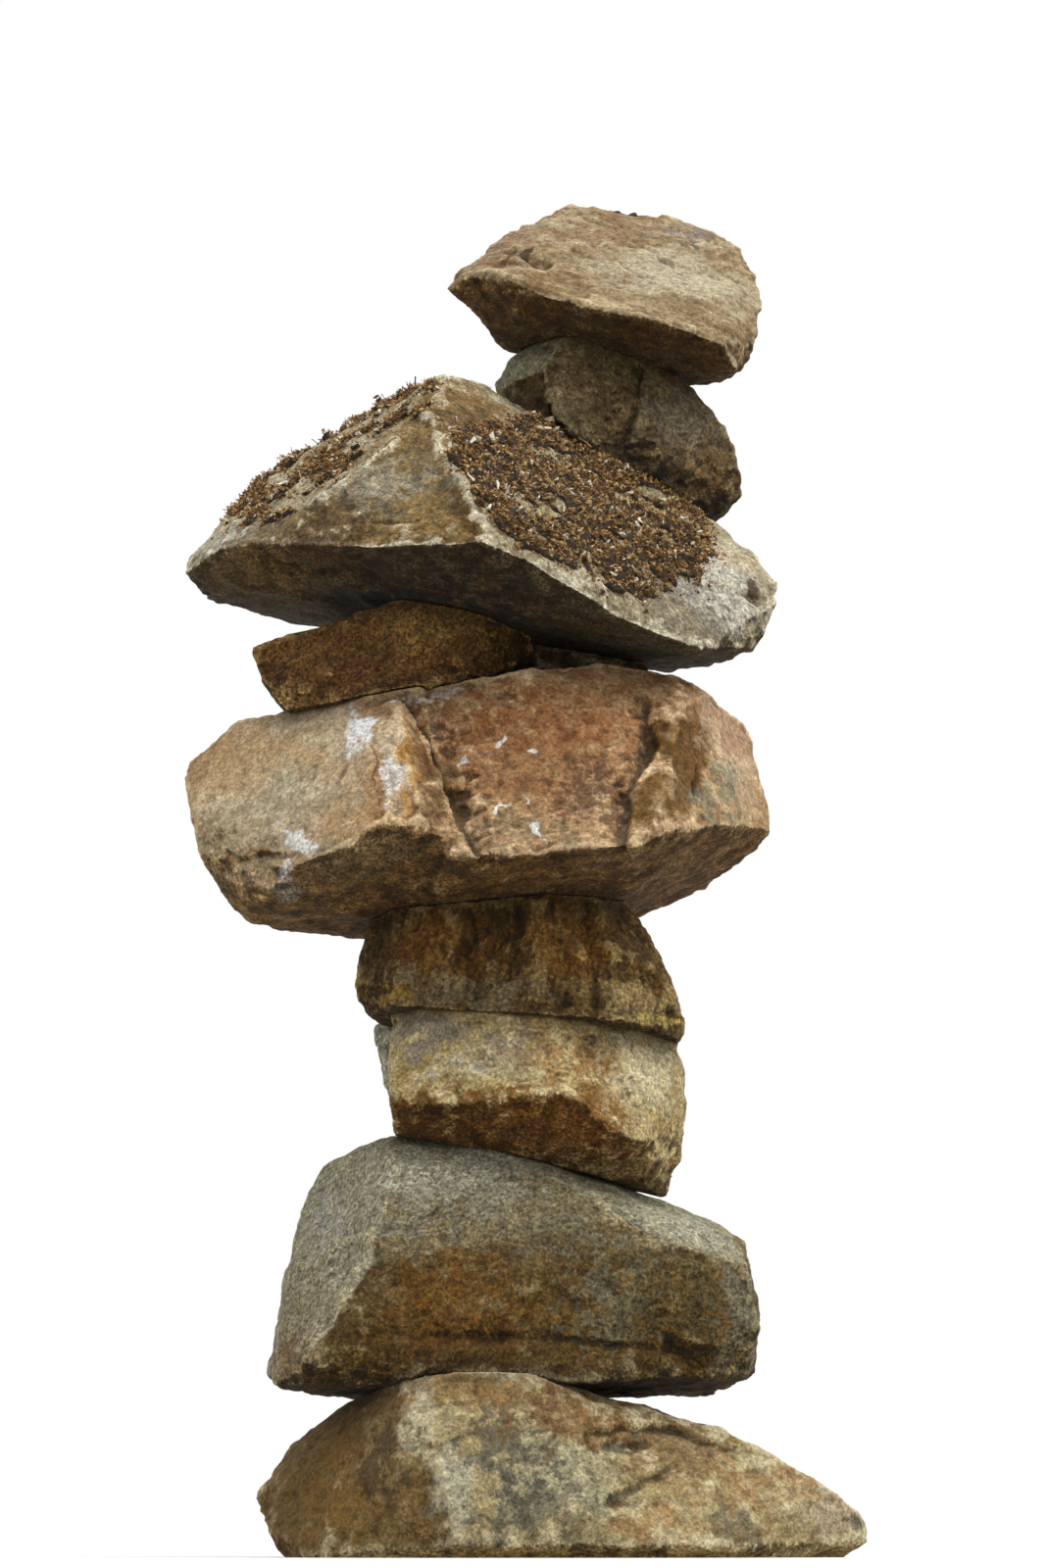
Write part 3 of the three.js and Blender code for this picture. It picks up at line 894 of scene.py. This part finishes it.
# %% Footing stone finish
dress("footing_stone", stone_finish(
    "buff_sandstone", ["84703f", "a39166", "b6a87e", "c9bd98"],
    [
        ("6c5429", (-92, -30, 35), (44, 60, 60), 0.9, 2.5),
        ("8a642c", (-74, -60, 30), (30, 40, 22), 0.45, 5.0),
        ("3f3a2c", (-58, -75, 50), (10, 30, 26), 0.6, 6.0),
        ("8f6c3c", (-20, -79, 72), (54, 30, 12), 0.6, 4.0),
        ("c9bf9c", (-42, -88, 62), (8, 30, 24), 0.8, 2.5),
        ("c4c2aa", (-27, -98, 30), (11, 30, 26), 0.6, 4.0),
        ("a8814a", (20, -84, 60), (40, 30, 12), 0.4, 6.0),
        ("aaa688", (16, -90, 40), (40, 30, 30), 0.55, 4.0),
        ("4a493f", (2, -91, 46), (24, 40, 18), 0.6, 9.0),
        ("4c4a3e", (18, -97, 22), (30, 40, 16), 0.5, 9.0),
        ("4c4a42", (98, -72, 20), (5, 40, 20), 0.6, 5.0, 35),
        ("4b4537", (72, -64, 50), (24, 40, 12), 0.6, 8.0),
        ("8b6334", (40, -80, 58), (34, 40, 10), 0.65, 5.0),
        ("a8804c", (8, -74, 74), (60, 30, 8), 0.5, 4.0),
        ("a0703a", (60, -76, 14), (26, 40, 10), 0.5, 5.0),
        ("a5774a", (120, -60, 36), (34, 40, 12), 0.55, 5.0),
        ("9c7c4c", (84, -66, 40), (40, 40, 22), 0.45, 5.0),
        ("ac9468", (130, -50, 18), (40, 40, 12), 0.4, 5.0),
        ("c9b39c", (150, -35, 22), (18, 30, 14), 0.5, 3.0),
        ("2f2a24", (158, -30, 14), (6, 30, 6), 0.8, 4.0),
    ],
    [("775c2e", (-0.9, -0.45, 0.1), 0.58, 0.80, 0.85), ("987442", (0, -0.2, 1), 0.6, 0.8, 0.6)],
    worn="d3c9a8", worn_share=0.35, streaks=((0, 20, 0), (0.35, 1.0, 1.4), 0.35), under="5a4828",
    under_share=0.35, gritty=0.85, contrast=0.9,
))

# %% [markdown]
# ## Olive sandstone for the block
# Under a pale weathered band the face is dark olive brown, and its sand is coarse. The band lies
# on the faces that look up, so it is laid by direction, and marks carry it over the arris.

# %% Block stone finish
dress("block_stone", stone_finish(
    "olive_sandstone", ["463512", "5c451a", "73592a", "8c784a"],
    [
        ("b5b3a8", (-92, -40, 168), (14, 40, 26), 0.6, 3.5),
        ("8f7f60", (-100, -50, 110), (24, 40, 26), 0.6, 3.0),
        ("c4c1a6", (-34, -50, 181), (56, 40, 15), 0.75, 2.8),
        ("7d531c", (-24, -76, 114), (34, 30, 24), 0.55, 4.0),
        ("7a5019", (-10, -77, 97), (60, 30, 6), 0.4, 5.0),
        ("aeac94", (-30, -60, 166), (44, 40, 16), 0.55, 5.0),
        ("8b8468", (8, -66, 150), (40, 40, 12), 0.35, 6.0),
        ("8f8f74", (44, -70, 122), (20, 30, 24), 0.45, 6.0),
        ("7d7652", (80, -62, 118), (30, 30, 24), 0.35, 6.0),
        ("b0ab90", (82, -42, 151), (36, 40, 12), 0.85, 2.2),
        ("93907a", (104, -40, 110), (12, 40, 30), 0.6, 3.0),
        ("7c5c34", (-108, -60, 88), (26, 30, 14), 0.7, 2.5),
        ("3a2d16", (10, -77, 97), (76, 20, 1.2), 0.4, 3.0, 2),
    ],
    [
        ("a8a07e", (0, -0.6, 0.8), 0.66, 1.0, 0.45), ("a9a588", (0, 0, 1), 0.66, 0.95, 0.85),
        ("ada68b", (-0.94, -0.28, 0.19), 0.46, 0.74, 0.88), ("6f6341", (0.3, 1, 0), 0.4, 0.9, 0.6),
    ],
    worn="a89c78", worn_share=0.45, streaks=((0, 3, 0), (0.6, 0.6, 2.2), 0.3), under="33270f",
    gritty=1.4,
))

# %% [markdown]
# ## Gold sandstone for the blond stone
# It is cream above and gold below, with grey lichen at its upper edge. Iron has run down into
# its base, which is one wide, ragged mark.

# %% Blond stone finish
dress("blond_stone", stone_finish(
    "gold_sandstone", ["8b6d36", "b29a62", "cdbb8c", "e0d3ac"],
    [
        ("7a501c", (0, -60, 195), (70, 50, 19), 0.85, 3.5),
        ("94682c", (30, -68, 208), (40, 30, 14), 0.65, 4.0),
        ("6a4a1e", (-50, -58, 204), (26, 40, 7), 0.8, 3.0),
        ("85888c", (-44, -55, 243), (20, 20, 9), 0.5, 7.0),
        ("7f8388", (-2, -62, 241), (16, 20, 6), 0.5, 7.0),
        ("d8d3c2", (-26, -66, 224), (12, 20, 6), 0.7, 4.0),
        ("c6c1ad", (-8, -66, 232), (24, 20, 8), 0.4, 5.0),
        ("96601f", (44, -60, 230), (10, 20, 14), 0.6, 4.0),
        ("a4702f", (16, -66, 236), (30, 30, 10), 0.4, 6.0),
        ("ecdfb8", (64, -42, 228), (22, 30, 26), 0.65, 5.0),
        ("d9ccaa", (-62, -52, 226), (5, 20, 26), 0.6, 2.5),
    ],
    worn="d3c398", worn_share=0.3, streaks=((0, -4, 0), (0.6, 0.6, 1.6), 0.25), under="59390f",
    under_share=0.6, gritty=1.0,
))

# %% [markdown]
# ## Pale sandstone for the prop
# Little of it shows. Streaks in its pale tones are enough, with one rusty mark at its foot.

# %% Prop stone finish
dress("prop_stone", stone_finish(
    "pale_sandstone", ["7f8068", "a3a287", "bdbba2", "d4d0ba"],
    [("a58a58", (-66, 50, 203), (30, 60, 14), 0.7, 3.0)],
    worn="d8d4c0", under="6a5a38", under_share=0.5, streaks=((0, 0, 0), (2.4, 2.4, 0.4), 0.5),
))

# %% [markdown]
# ## Dark sandstone for the ribbed stone
# The ribs are worn. Streaks stretched upright tie the tones to the ribs, and narrow marks of
# painted shade darken each groove. Yellow lichen lies along its lower edge.

# %% Ribbed stone finish
dress("ribbed_stone", stone_finish(
    "dark_ribbed_sandstone", ["3d2e13", "5c451d", "7d5d2d", "9c8354"],
    [
        ("332c1f", (-66, -48, 282), (16, 40, 26), 0.55, 4.0),
        # this mark and the next are painted shade down two grooves
        ("2f200d", (-19, -58, 284), (5, 30, 26), 0.6, 3.0, -3),
        ("33230e", (-2, -58, 288), (8, 30, 20), 0.55, 3.0, 4),
        ("a38250", (13, -58, 282), (6, 30, 26), 0.45, 4.0),
        ("9a8354", (-30, -58, 272), (8, 30, 18), 0.4, 4.0),
        ("8a5a20", (-36, -57, 284), (26, 30, 24), 0.5, 5.0),
        ("a3926a", (-26, -63, 262), (56, 30, 9), 0.65, 4.0),
        ("936020", (30, -58, 286), (26, 30, 22), 0.45, 5.0),
        # painted shade in a groove
        ("2e261f", (43, -57, 275), (6, 20, 6), 0.8, 4.0),
        ("b89f6a", (60, -56, 258), (26, 30, 14), 0.85, 3.0),
        ("d3b86a", (70, -46, 249), (24, 40, 5), 0.9, 2.0),
        ("b58e3e", (-62, -52, 258), (24, 30, 4), 0.9, 2.0),
        ("4a3b26", (56, -40, 292), (14, 30, 14), 0.4, 4.0),
    ],
    worn="b39c68", worn_share=0.5, streaks=((0, 6, 0), (1.7, 1.7, 0.22), 0.6), under="33240f",
    gritty=1.3,
))

# %% [markdown]
# ## Rust sandstone for the slab
# The slab has the most to show: a cream left end, a rust red middle, an ochre fin, and splashes
# of white lime. They could be painted by hand on an unwrapped copy, but marks made of nodes need
# no seams and stay sharp from close by.

# %% Rust slab finish
dress("rust_slab", stone_finish(
    "rust_sandstone", ["6e4e2c", "987550", "b4946b", "c8b08c"],
    [
        ("d0bf9f", (-112, -58, 364), (60, 60, 54), 0.95, 1.6),
        ("c29a66", (-128, -50, 380), (46, 60, 20), 0.6, 4.0),
        ("bd8f5a", (-84, -80, 350), (26, 40, 30), 0.4, 5.0),
        ("a9a48c", (-104, -72, 356), (26, 40, 16), 0.4, 6.0),
        ("9c693f", (8, -78, 376), (56, 50, 34), 0.5, 4.0),
        ("9a5f34", (34, -66, 400), (46, 50, 18), 0.5, 4.0),
        ("7a4a26", (-26, -72, 400), (30, 40, 14), 0.5, 5.0),
        ("6a4a28", (-34, -84, 366), (10, 30, 34), 0.7, 3.0, -22),
        ("5a4634", (40, -85, 354), (26, 30, 14), 0.65, 6.0),
        ("7e7a5e", (2, -95, 334), (26, 30, 10), 0.4, 6.0),
        ("8e3a1c", (20, -91, 344), (4, 20, 4), 0.7, 3.0),
        ("3b2a18", (68, -58, 396), (4, 30, 22), 0.6, 3.0, -6),
        ("6b4c1e", (82, -58, 382), (13, 40, 38), 1.0, 1.4, -6),
        ("6f5020", (70, -74, 350), (13, 40, 20), 0.95, 1.8, -25),
        ("bfa688", (108, -20, 392), (20, 50, 36), 0.85, 3.0),
        ("a97a5a", (114, -14, 404), (14, 50, 14), 0.5, 5.0),
        ("4f4c36", (101, -40, 374), (8, 20, 10), 0.7, 8.0),
        ("b1ab8c", (102, -39, 377), (6, 20, 6), 0.6, 10.0),
        ("8c8c72", (94, -50, 358), (20, 40, 8), 0.6, 4.0),
        ("b5843e", (-50, -92, 366), (5, 30, 32), 0.8, 2.5),
        ("e2cdaa", (-57, -90, 366), (6, 30, 36), 0.75, 3.0),
        ("5a3018", (-68, -92, 362), (1.6, 20, 22), 0.7, 3.0),
        ("b09e7c", (-138, -50, 332), (30, 50, 28), 0.8, 2.5),
        ("8c5a26", (-130, -58, 328), (24, 20, 3), 0.6, 4.0, 6),
        ("b3a584", (-70, -92, 322), (34, 24, 12), 0.7, 3.0),
        ("f6f4f0", (-72, -77, 388), (8, 20, 14), 1.0, 2.5),
        ("e9e6e0", (-60, -96, 356), (3.5, 20, 18), 0.8, 5.0),
        ("f4f2ee", (-102, -82, 330), (4, 20, 15), 1.0, 2.5, 35),
        ("f4f2ee", (-112, -74, 315), (9, 24, 7), 1.0, 2.5),
        ("e8e4da", (-40, -64, 412), (16, 16, 3), 0.6, 6.0),
        ("efece6", (-4, -69, 387), (2.5, 20, 5), 0.95, 2.0, -30),
        ("efece6", (10, -72, 379), (3, 20, 2.5), 0.9, 3.0),
        ("efece6", (-20, -80, 375), (1.6, 20, 3), 0.7, 3.0, -30),
        ("efece6", (-8, -87, 346), (4, 20, 2.5), 0.9, 4.0),
        ("efece6", (13, -94, 333), (2.5, 20, 7), 0.9, 4.0),
        ("efece6", (8, -90, 352), (1.4, 20, 1.4), 0.9, 2.0),
    ],
    worn="d6be98", worn_share=0.4, under="47330f", under_share=0.65, gritty=0.8,
))

# %% [markdown]
# ## Honey sandstone for the wedge
# It is golden brown with strong grain, and darker at both ends. A steeper `gritty` brings out
# the grain, and its tones lie in streaks along the slope of its top.

# %% Wedge stone finish
dress("wedge_stone", stone_finish(
    "honey_sandstone", ["45290f", "704c22", "946b3a", "b89763"],
    [
        ("b48f50", (-40, -53, 448), (30, 30, 16), 0.5, 4.0),
        ("7a5a2a", (-96, -50, 440), (40, 30, 14), 0.4, 4.0),
        ("3c2610", (-122, -45, 422), (14, 30, 14), 0.6, 3.0),
        ("3c2810", (4, -40, 438), (14, 30, 16), 0.5, 3.0),
        ("93763c", (-26, -50, 450), (30, 30, 16), 0.5, 5.0),
    ],
    worn="b99a5e", worn_share=0.6, under="36240f", streaks=((0, -12, 0), (0.6, 1.0, 1.8), 0.3),
    gritty=1.8,
))

# %% [markdown]
# ## Brown sandstone for the shim
# It sits in shade, so four plain brown tones do.

# %% Shim stone finish
dress("shim_stone", stone_finish(
    "brown_sandstone", ["4a3a24", "6e5a3c", "8a7452", "a8946f"], under="2f2415",
))

# %% [markdown]
# ## Grey sandstone for the roof stone
# Its slopes are pale grey and buff, one steep facet is brown, and its underside is painted nearly
# black as shade, with paler patches. The patches are laid after the painted shade of the underside,
# or it would hide them.

# %% Roof stone finish
dress("roof_stone", stone_finish(
    "grey_sandstone", ["726244", "9a8c6a", "b4a98c", "ccc6b0"],
    [
        ("7d7c6a", (-78, -84, 502), (26, 40, 10), 0.5, 5.0),
        ("5e4a28", (-28, -92, 500), (12, 40, 18), 0.6, 4.0),
        ("7a5a2a", (-22, -33, 566), (26, 50, 34), 0.85, 2.5),
        ("a39c86", (-66, -78, 512), (34, 40, 12), 0.65, 5.0),
        ("8d8468", (-20, -70, 520), (50, 40, 16), 0.4, 7.0),
        ("3f2f1a", (-18, -40, 556), (16, 50, 14), 0.5, 6.0),
        ("c9c7ba", (100, -20, 478), (30, 50, 34), 0.7, 3.5),
        ("8f8a80", (78, -40, 470), (20, 40, 24), 0.5, 5.0),
        ("a98f63", (112, 10, 500), (16, 30, 12), 0.5, 4.0),
        ("7f6a44", (-88, -90, 486), (30, 20, 6), 0.5, 5.0),
        ("4a321a", (124, -8, 476), (6, 14, 6), 0.95, 1.5),
        ("c3c1b3", (-140, -38, 500), (30, 40, 16), 0.6, 4.0),
    ],
    [("806636", (-0.17, -0.84, 0.51), 0.89, 0.935, 0.92)],
    worn="dcd5bd", worn_share=0.5, under="2a1c08", under_share=0.9, gritty=1.1,
    beneath=[
        ("74603c", (-128, -50, 478), (44, 60, 34), 0.75, 4.0),
        ("4a3219", (-92, -80, 488), (24, 60, 14), 0.6, 5.0),
        ("6a4517", (-6, -78, 484), (60, 30, 9), 0.6, 6.0, 4),
        # a near-black blot of painted shade under the stone
        ("1c1206", (-30, -30, 470), (66, 56, 30), 0.8, 3.0),
        ("6e6248", (70, -50, 452), (44, 40, 18), 0.5, 6.0),
    ],
))

# %% [markdown]
# ## Umber sandstone for the saddle stone
# Two tones by direction do most of it: near black painted shade on the planes turned down and
# away, grey green on the ones that look up.

# %% Saddle stone finish
dress("saddle_stone", stone_finish(
    "umber_sandstone", ["3a2d18", "614f34", "85734f", "a6997a"],
    [
        ("2a2012", (0, 16, 572), (18, 30, 8), 0.6, 3.0),
        ("7d6b48", (40, 8, 566), (26, 30, 12), 0.5, 5.0, 25),
        ("8a8070", (88, 24, 578), (20, 40, 24), 0.5, 5.0),
        ("8a6a34", (100, 27, 560), (20, 40, 16), 0.4, 5.0),
    ],
    [
        # painted shade on the planes turned down and away
        ("4a340f", (-0.8, -0.55, -0.2), 0.72, 0.9, 0.85),
        ("8e8c70", (-0.5, -0.3, 0.8), 0.72, 0.9, 0.75),
    ],
    worn="8f8260", worn_share=0.5, under="261c0c", gritty=1.2,
))

# %% [markdown]
# ## Tan sandstone for the cap
# Tan with slanting streaks, so its clouds are stretched along the beds. Grey lichen sits on the
# top edge, and the underside is painted dark brown as shade.

# %% Cap stone finish
dress("cap_stone", stone_finish(
    "tan_sandstone", ["604a31", "806947", "968465", "b4a789"],
    [
        ("b9b095", (84, 20, 662), (50, 60, 24), 0.6, 3.5),
        ("8a6a50", (50, 50, 700), (40, 40, 16), 0.45, 5.0, 25),
        ("8a6a50", (-10, 40, 690), (30, 40, 16), 0.45, 5.0, 25),
        ("7d7d80", (92, 52, 706), (16, 30, 6), 0.5, 8.0, 25),
        ("565250", (98, 40, 694), (4, 30, 4), 0.7, 5.0),
        ("352512", (5, 17, 678), (12, 30, 4), 0.85, 3.0, 35),
        ("6b4f2c", (-14, 14, 672), (18, 30, 6), 0.5, 5.0),
        ("7d5a30", (26, -4, 652), (20, 30, 8), 0.45, 5.0),
        ("c9b890", (40, -22, 632), (60, 12, 5), 0.4, 4.0, 8),
    ],
    [("5f4216", (-0.7, -0.5, -0.5), 0.66, 0.88, 0.85)],
    worn="b5a582", worn_share=0.3, under="412c0d", under_share=0.8, contrast=1.3,
    streaks=((0, 28, 0), (0.35, 1.0, 2.0), 0.45), gritty=0.8,
))

# %% [markdown]
# ## The leaf mould
# Dry crumbs of leaves and bark have gathered on both slopes of the roof stone. Modelled by hand
# it would be a carpet of tiny bits: a rough bed that follows the stone, then thousands of
# crumbs, fibres and pale chips scattered over it and thinning out past its edge. Each kind of
# bit is one small shape, copied with its own turn and size into a single mesh.


# %% The bed under the crumbs
dice = np.random.default_rng(7)
BED_DEPTH = 2.6
PACK_RIM = 14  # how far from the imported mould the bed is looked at, in mm
BED_RIM = 9  # where the bed ends


def covered(points, plenty):
    """Where the mould lies: 1 in its clumps, 0 on the bare stone between them."""
    clump = 14 + 14 * max(plenty, 0)
    broad = np.array([wobble(Vector(p) / (clump * MM)) for p in points])
    fine = np.array([wobble(Vector(p) / (5 * MM)) for p in points])
    return smoothstep(broad + 0.6 * fine + plenty, -0.12, 0.2)


def reach_to(node_name, points, limit):
    """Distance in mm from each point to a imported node, frayed so that the mould's rim is ragged."""
    tree = tree_of(node_name)
    found = [tree.find_nearest(Vector(p), limit * MM)[3] for p in points]
    fray = [5 * wobble(Vector(p) / (10 * MM)) + 3 * wobble(Vector(p) / (4 * MM)) for p in points]
    return np.array([limit if d is None else d / MM for d in found]) + np.array(fray)


def bed(name, skin, plenty):
    """A patch of the roof stone's own skin, raised where the mould lies and sunk at its rim."""
    made = copy_of(rocks["roof_stone"], name)
    near = reach_to(skin, corners_of(made), PACK_RIM)
    wanted = (near < BED_RIM) & (normals_of(made)[:, 2] > 0.15)
    bpy.ops.object.mode_set(mode="EDIT")
    bpy.ops.mesh.select_mode(type="VERT")
    bpy.ops.object.mode_set(mode="OBJECT")
    made.data.vertices.foreach_set("select", ~wanted)
    bpy.ops.object.mode_set(mode="EDIT")
    bpy.ops.mesh.delete(type="VERT")
    bpy.ops.object.mode_set(mode="OBJECT")
    near = reach_to(skin, corners_of(made), PACK_RIM)
    weight_group(made, "lies", smoothstep(near, 7.5, 3.0) * covered(corners_of(made), plenty))
    modify(made, "DISPLACE", strength=BED_DEPTH * MM, mid_level=0.0, vertex_group="lies")
    modify(made, "DISPLACE", strength=-1.6 * MM, mid_level=0.0)
    for texture, strength, middle in ((grit, 5.0, 0.45), (sand, 1.4, 0.5)):
        modify(
            made, "DISPLACE", texture=texture, strength=strength * MM, mid_level=middle,
            texture_coords="LOCAL", vertex_group="lies",
        )
    return made


# %% [markdown]
# ## The bits
# Up close the mould is crumbs, threads and pale flakes of bark. Each kind is modelled once, with
# as few faces as its outline needs, because there will be thousands. A particle system or
# Geometry Nodes could scatter them, but plain lists of corners join into one mesh at once.


# %% Crumbs, fibres and chips
def as_arrays(shape):
    """Turns a small shape into triangles and lists its corners and faces, then throws it away."""
    bpy.ops.object.mode_set(mode="EDIT")
    bpy.ops.mesh.select_all(action="SELECT")
    bpy.ops.mesh.quads_convert_to_tris()
    bpy.ops.object.mode_set(mode="OBJECT")
    points = corners_of(shape)
    faces = read(shape.data.polygons, "vertices", int)
    bpy.data.objects.remove(shape)
    return points, faces


def crumb_shape():
    """A lump of twelve corners."""
    bpy.ops.mesh.primitive_ico_sphere_add(subdivisions=1, radius=0.5)
    return as_arrays(bpy.context.object)


def speck_shape():
    """A tiny lump of five corners."""
    bpy.ops.mesh.primitive_cone_add(vertices=4, radius1=0.5, radius2=0, depth=0.8)
    return as_arrays(bpy.context.object)


def fibre_shape():
    """A three-sided thread in three bends, one unit long."""
    bpy.ops.mesh.primitive_cylinder_add(vertices=3, radius=0.07, depth=1, end_fill_type="TRIFAN")
    bpy.ops.object.mode_set(mode="EDIT")
    for height in (-0.17, 0.17):
        bpy.ops.mesh.select_all(action="SELECT")
        bpy.ops.mesh.bisect(plane_co=(0, 0, height), plane_no=(0, 0, 1))
    bpy.ops.object.mode_set(mode="OBJECT")
    return as_arrays(bpy.context.object)


def chip_shape():
    """A flat flake with a pointed end."""
    bpy.ops.mesh.primitive_cube_add(size=1)
    bpy.ops.object.mode_set(mode="EDIT")
    bpy.ops.mesh.select_all(action="SELECT")
    bpy.ops.transform.resize(value=(1, 0.45, 0.16))
    bpy.ops.object.mode_set(mode="OBJECT")
    points, faces = as_arrays(bpy.context.object)
    points[points[:, 0] > 0, 1] *= 0.4
    return points, faces


# %% [markdown]
# ## Scattering
# Bits fall at random but not evenly: thick in the clumps, thinner past the rim, a few far out.
# So places are drawn all over the slope, and each is kept or dropped by a chance that depends on
# where it is. The numbers come from one seeded source, so every run strews the same bits.


# %% Scattering
STRAY_REACH = 22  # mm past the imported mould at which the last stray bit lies


def turns(count):
    """Random rotations."""
    q = dice.normal(size=(count, 4))
    w, x, y, z = (q / np.linalg.norm(q, axis=1)[:, None]).T
    rows = [
        [1 - 2 * (y * y + z * z), 2 * (x * y - z * w), 2 * (x * z + y * w)],
        [2 * (x * y + z * w), 1 - 2 * (x * x + z * z), 2 * (y * z - x * w)],
        [2 * (x * z - y * w), 2 * (y * z + x * w), 1 - 2 * (x * x + y * y)],
    ]
    return np.array(rows).transpose(2, 0, 1)


def strew(shape, spots, sizes, jitter, bend):
    """Copies of a shape at each spot, each turned, sized, bent and knocked out of true."""
    points, faces = shape
    count = len(spots)
    bits = points[None] + dice.normal(scale=jitter, size=(count, len(points), 3))
    bits[:, :, 0] += dice.random((count, 1)) * bend * bits[:, :, 2] ** 2
    bits = bits * sizes[:, None, :]
    bits = np.einsum("nij,nkj->nki", turns(count), bits) + spots[:, None]
    numbered = faces[None] + (np.arange(count) * len(points))[:, None, None]
    return bits.reshape(-1, 3), numbered.reshape(-1, faces.shape[1])


def spots_on(stone, skin, count, rim, lift, plenty):
    """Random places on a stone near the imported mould, fewer and fewer past its rim."""
    mesh = stone.data
    mesh.calc_loop_triangles()
    tris = read(mesh.loop_triangles, "vertices", int)
    co = corners_of(stone)
    a, b, c = co[tris[:, 0]], co[tris[:, 1]], co[tris[:, 2]]
    normal = np.cross(b - a, c - a)
    area = np.linalg.norm(normal, axis=1)
    normal = normal / np.maximum(area, 1e-12)[:, None]
    middle = (a + b + c) / 3
    low_corner, high_corner = (np.array(corner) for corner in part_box(skin))
    room = 20 * MM
    close = np.all((middle > low_corner - room) & (middle < high_corner + room), 1)
    chance = area * close * (normal[:, 2] > 0.1)
    chosen = dice.choice(len(tris), size=count * 3, p=chance / chance.sum())
    u, v = dice.random((2, len(chosen), 1))
    flip = u + v > 1
    u, v = np.where(flip, 1 - u, u), np.where(flip, 1 - v, v)
    places = a[chosen] + u * (b[chosen] - a[chosen]) + v * (c[chosen] - a[chosen])
    past = reach_to(skin, places, STRAY_REACH)
    keep = dice.random(len(places)) < np.exp(-np.maximum(past - 4, 0) / rim)
    keep &= past < STRAY_REACH - 0.5
    keep &= dice.random(len(places)) < 0.06 + 0.94 * covered(places, plenty)
    out = places + normal[chosen] * (dice.random((len(places), 1)) * lift) * MM
    return out[keep][:count]


# %% The loose bits of one patch
STRAY_SHARE = 6  # one bit in six lies loose on the stone
SPECK, CRUMB, FIBRE, CHIP = speck_shape(), crumb_shape(), fibre_shape(), chip_shape()


def loose_bits(name, under, skin, counts, rim, plenty):
    """All the bits of a patch as one object, each with a tint of its own."""
    kinds = (  # shape, how many, least and most size, squeeze, jitter, bend
        (SPECK, counts[0], (0.8, 2.4), (1.0, 0.9, 0.8), 0.10, 0),
        (CRUMB, counts[1], (1.4, 3.4), (1.0, 0.8, 0.7), 0.10, 0),
        (FIBRE, counts[2], (3.0, 8.0), (0.6, 0.6, 1.0), 0.02, 1.6),
        (CHIP, counts[3], (1.8, 6.5), (1.0, 1.0, 1.0), 0.05, 0),
    )
    points, faces, tints = [], [], []
    start = 0
    for shape, count, (least, most), squeeze, jitter, bend in kinds:
        strays = count // STRAY_SHARE
        spots = np.vstack([
            spots_on(under, skin, count - strays, rim, 2.4, plenty),
            spots_on(rocks["roof_stone"], skin, strays, rim * 2.0, 0.8, plenty),
        ])
        size = least + (most - least) * dice.random(len(spots)) ** 2.2
        uneven = dice.uniform(0.7, 1.2, (len(spots), 3))
        sizes = size[:, None] * np.array(squeeze)[None] * uneven * MM
        co, tri = strew(shape, spots, sizes, jitter, bend)
        points.append(co)
        faces.append(tri + start)
        start += len(co)
        tint = dice.random(len(spots))
        if shape is CHIP:
            tint = 1.45 + 0.5 * tint
        tints.append(np.repeat(tint, len(shape[0])))
    mesh = bpy.data.meshes.new(name)
    mesh.from_pydata(np.vstack(points).tolist(), [], np.vstack(faces).tolist())
    bits = bpy.data.objects.new(name, mesh)
    bpy.context.scene.collection.objects.link(bits)
    store(bits, "tint", np.concatenate(tints))
    return bits


# %% One patch of leaf mould
def leaf_mould(name, skin, counts, rim, plenty):
    """The bed and its loose bits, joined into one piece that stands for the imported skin."""
    under = bed(name, skin, plenty)
    bits = loose_bits(name + "_loose", under, skin, counts, rim, plenty)
    modify(under, "SOLIDIFY", thickness=2.0 * MM, offset=-1)
    store(under, "tint", np.full(len(under.data.vertices), -0.5))
    bpy.ops.object.select_all(action="DESELECT")
    bits.select_set(True)
    under.select_set(True)
    bpy.context.view_layer.objects.active = under
    bpy.ops.object.join()
    under.vertex_groups.clear()
    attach(under, "root")
    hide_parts(skin)
    under.data.calc_loop_triangles()
    print(name, len(under.data.loop_triangles), "triangles")
    return under


# %% [markdown]
# ## The finish of the leaf mould
# Every bit has a tone of its own, from black crumbs to pale flakes. A few materials shared out
# among them would do, but one that reads the tint stored on the bits and picks a tone from a
# ramp gives every shade between as well.

# %% Finish of the leaf mould
humus = bpy.data.materials.new("leaf_mould")
humus.use_nodes = True
tree = humus.node_tree
shader = tree.nodes["Principled BSDF"]
point = node(tree, "ShaderNodeTexCoord").outputs["Object"]
fleck = noise(tree, point, 700.0, 3.0)[0]
clods = noise(tree, point, 120.0, 3.0)[0]
shade = total(
    tree, (stored(tree, "tint"), 0.4), (0.2, 1),
    (calc(tree, "SUBTRACT", fleck, 0.5), 0.25), (calc(tree, "SUBTRACT", clods, 0.5), 0.6),
)
colour = ramp(tree, shade, [
    (0.0, tone("241a0e")), (0.18, tone("463016")), (0.34, tone("7d5a2e")), (0.5, tone("a8834d")),
    (0.68, tone("c9b48a")), (0.9, tone("e6e1d2")),
])
tree.links.new(colour, shader.inputs["Base Color"])
shader.inputs["Roughness"].default_value = 0.95
bump = node(tree, "ShaderNodeBump", None, {"Strength": 0.5, "Distance": 0.5 * MM, "Height": fleck})
tree.links.new(bump.outputs[0], shader.inputs["Normal"])

# %% Make both patches
# The counts are of specks, crumbs, fibres and pale chips.
for name, skin, counts, rim, plenty in (
    ("leaf_mould_right_bits", "leaf_mould_right", (7400, 2200, 1900, 240), 3.0, 0.42),
    ("leaf_mould_left_bits", "leaf_mould_left", (4000, 1000, 1000, 150), 4.0, -0.08),
):
    patch = leaf_mould(name, skin, counts, rim, plenty)
    patch.data.materials.clear()
    patch.data.materials.append(humus)
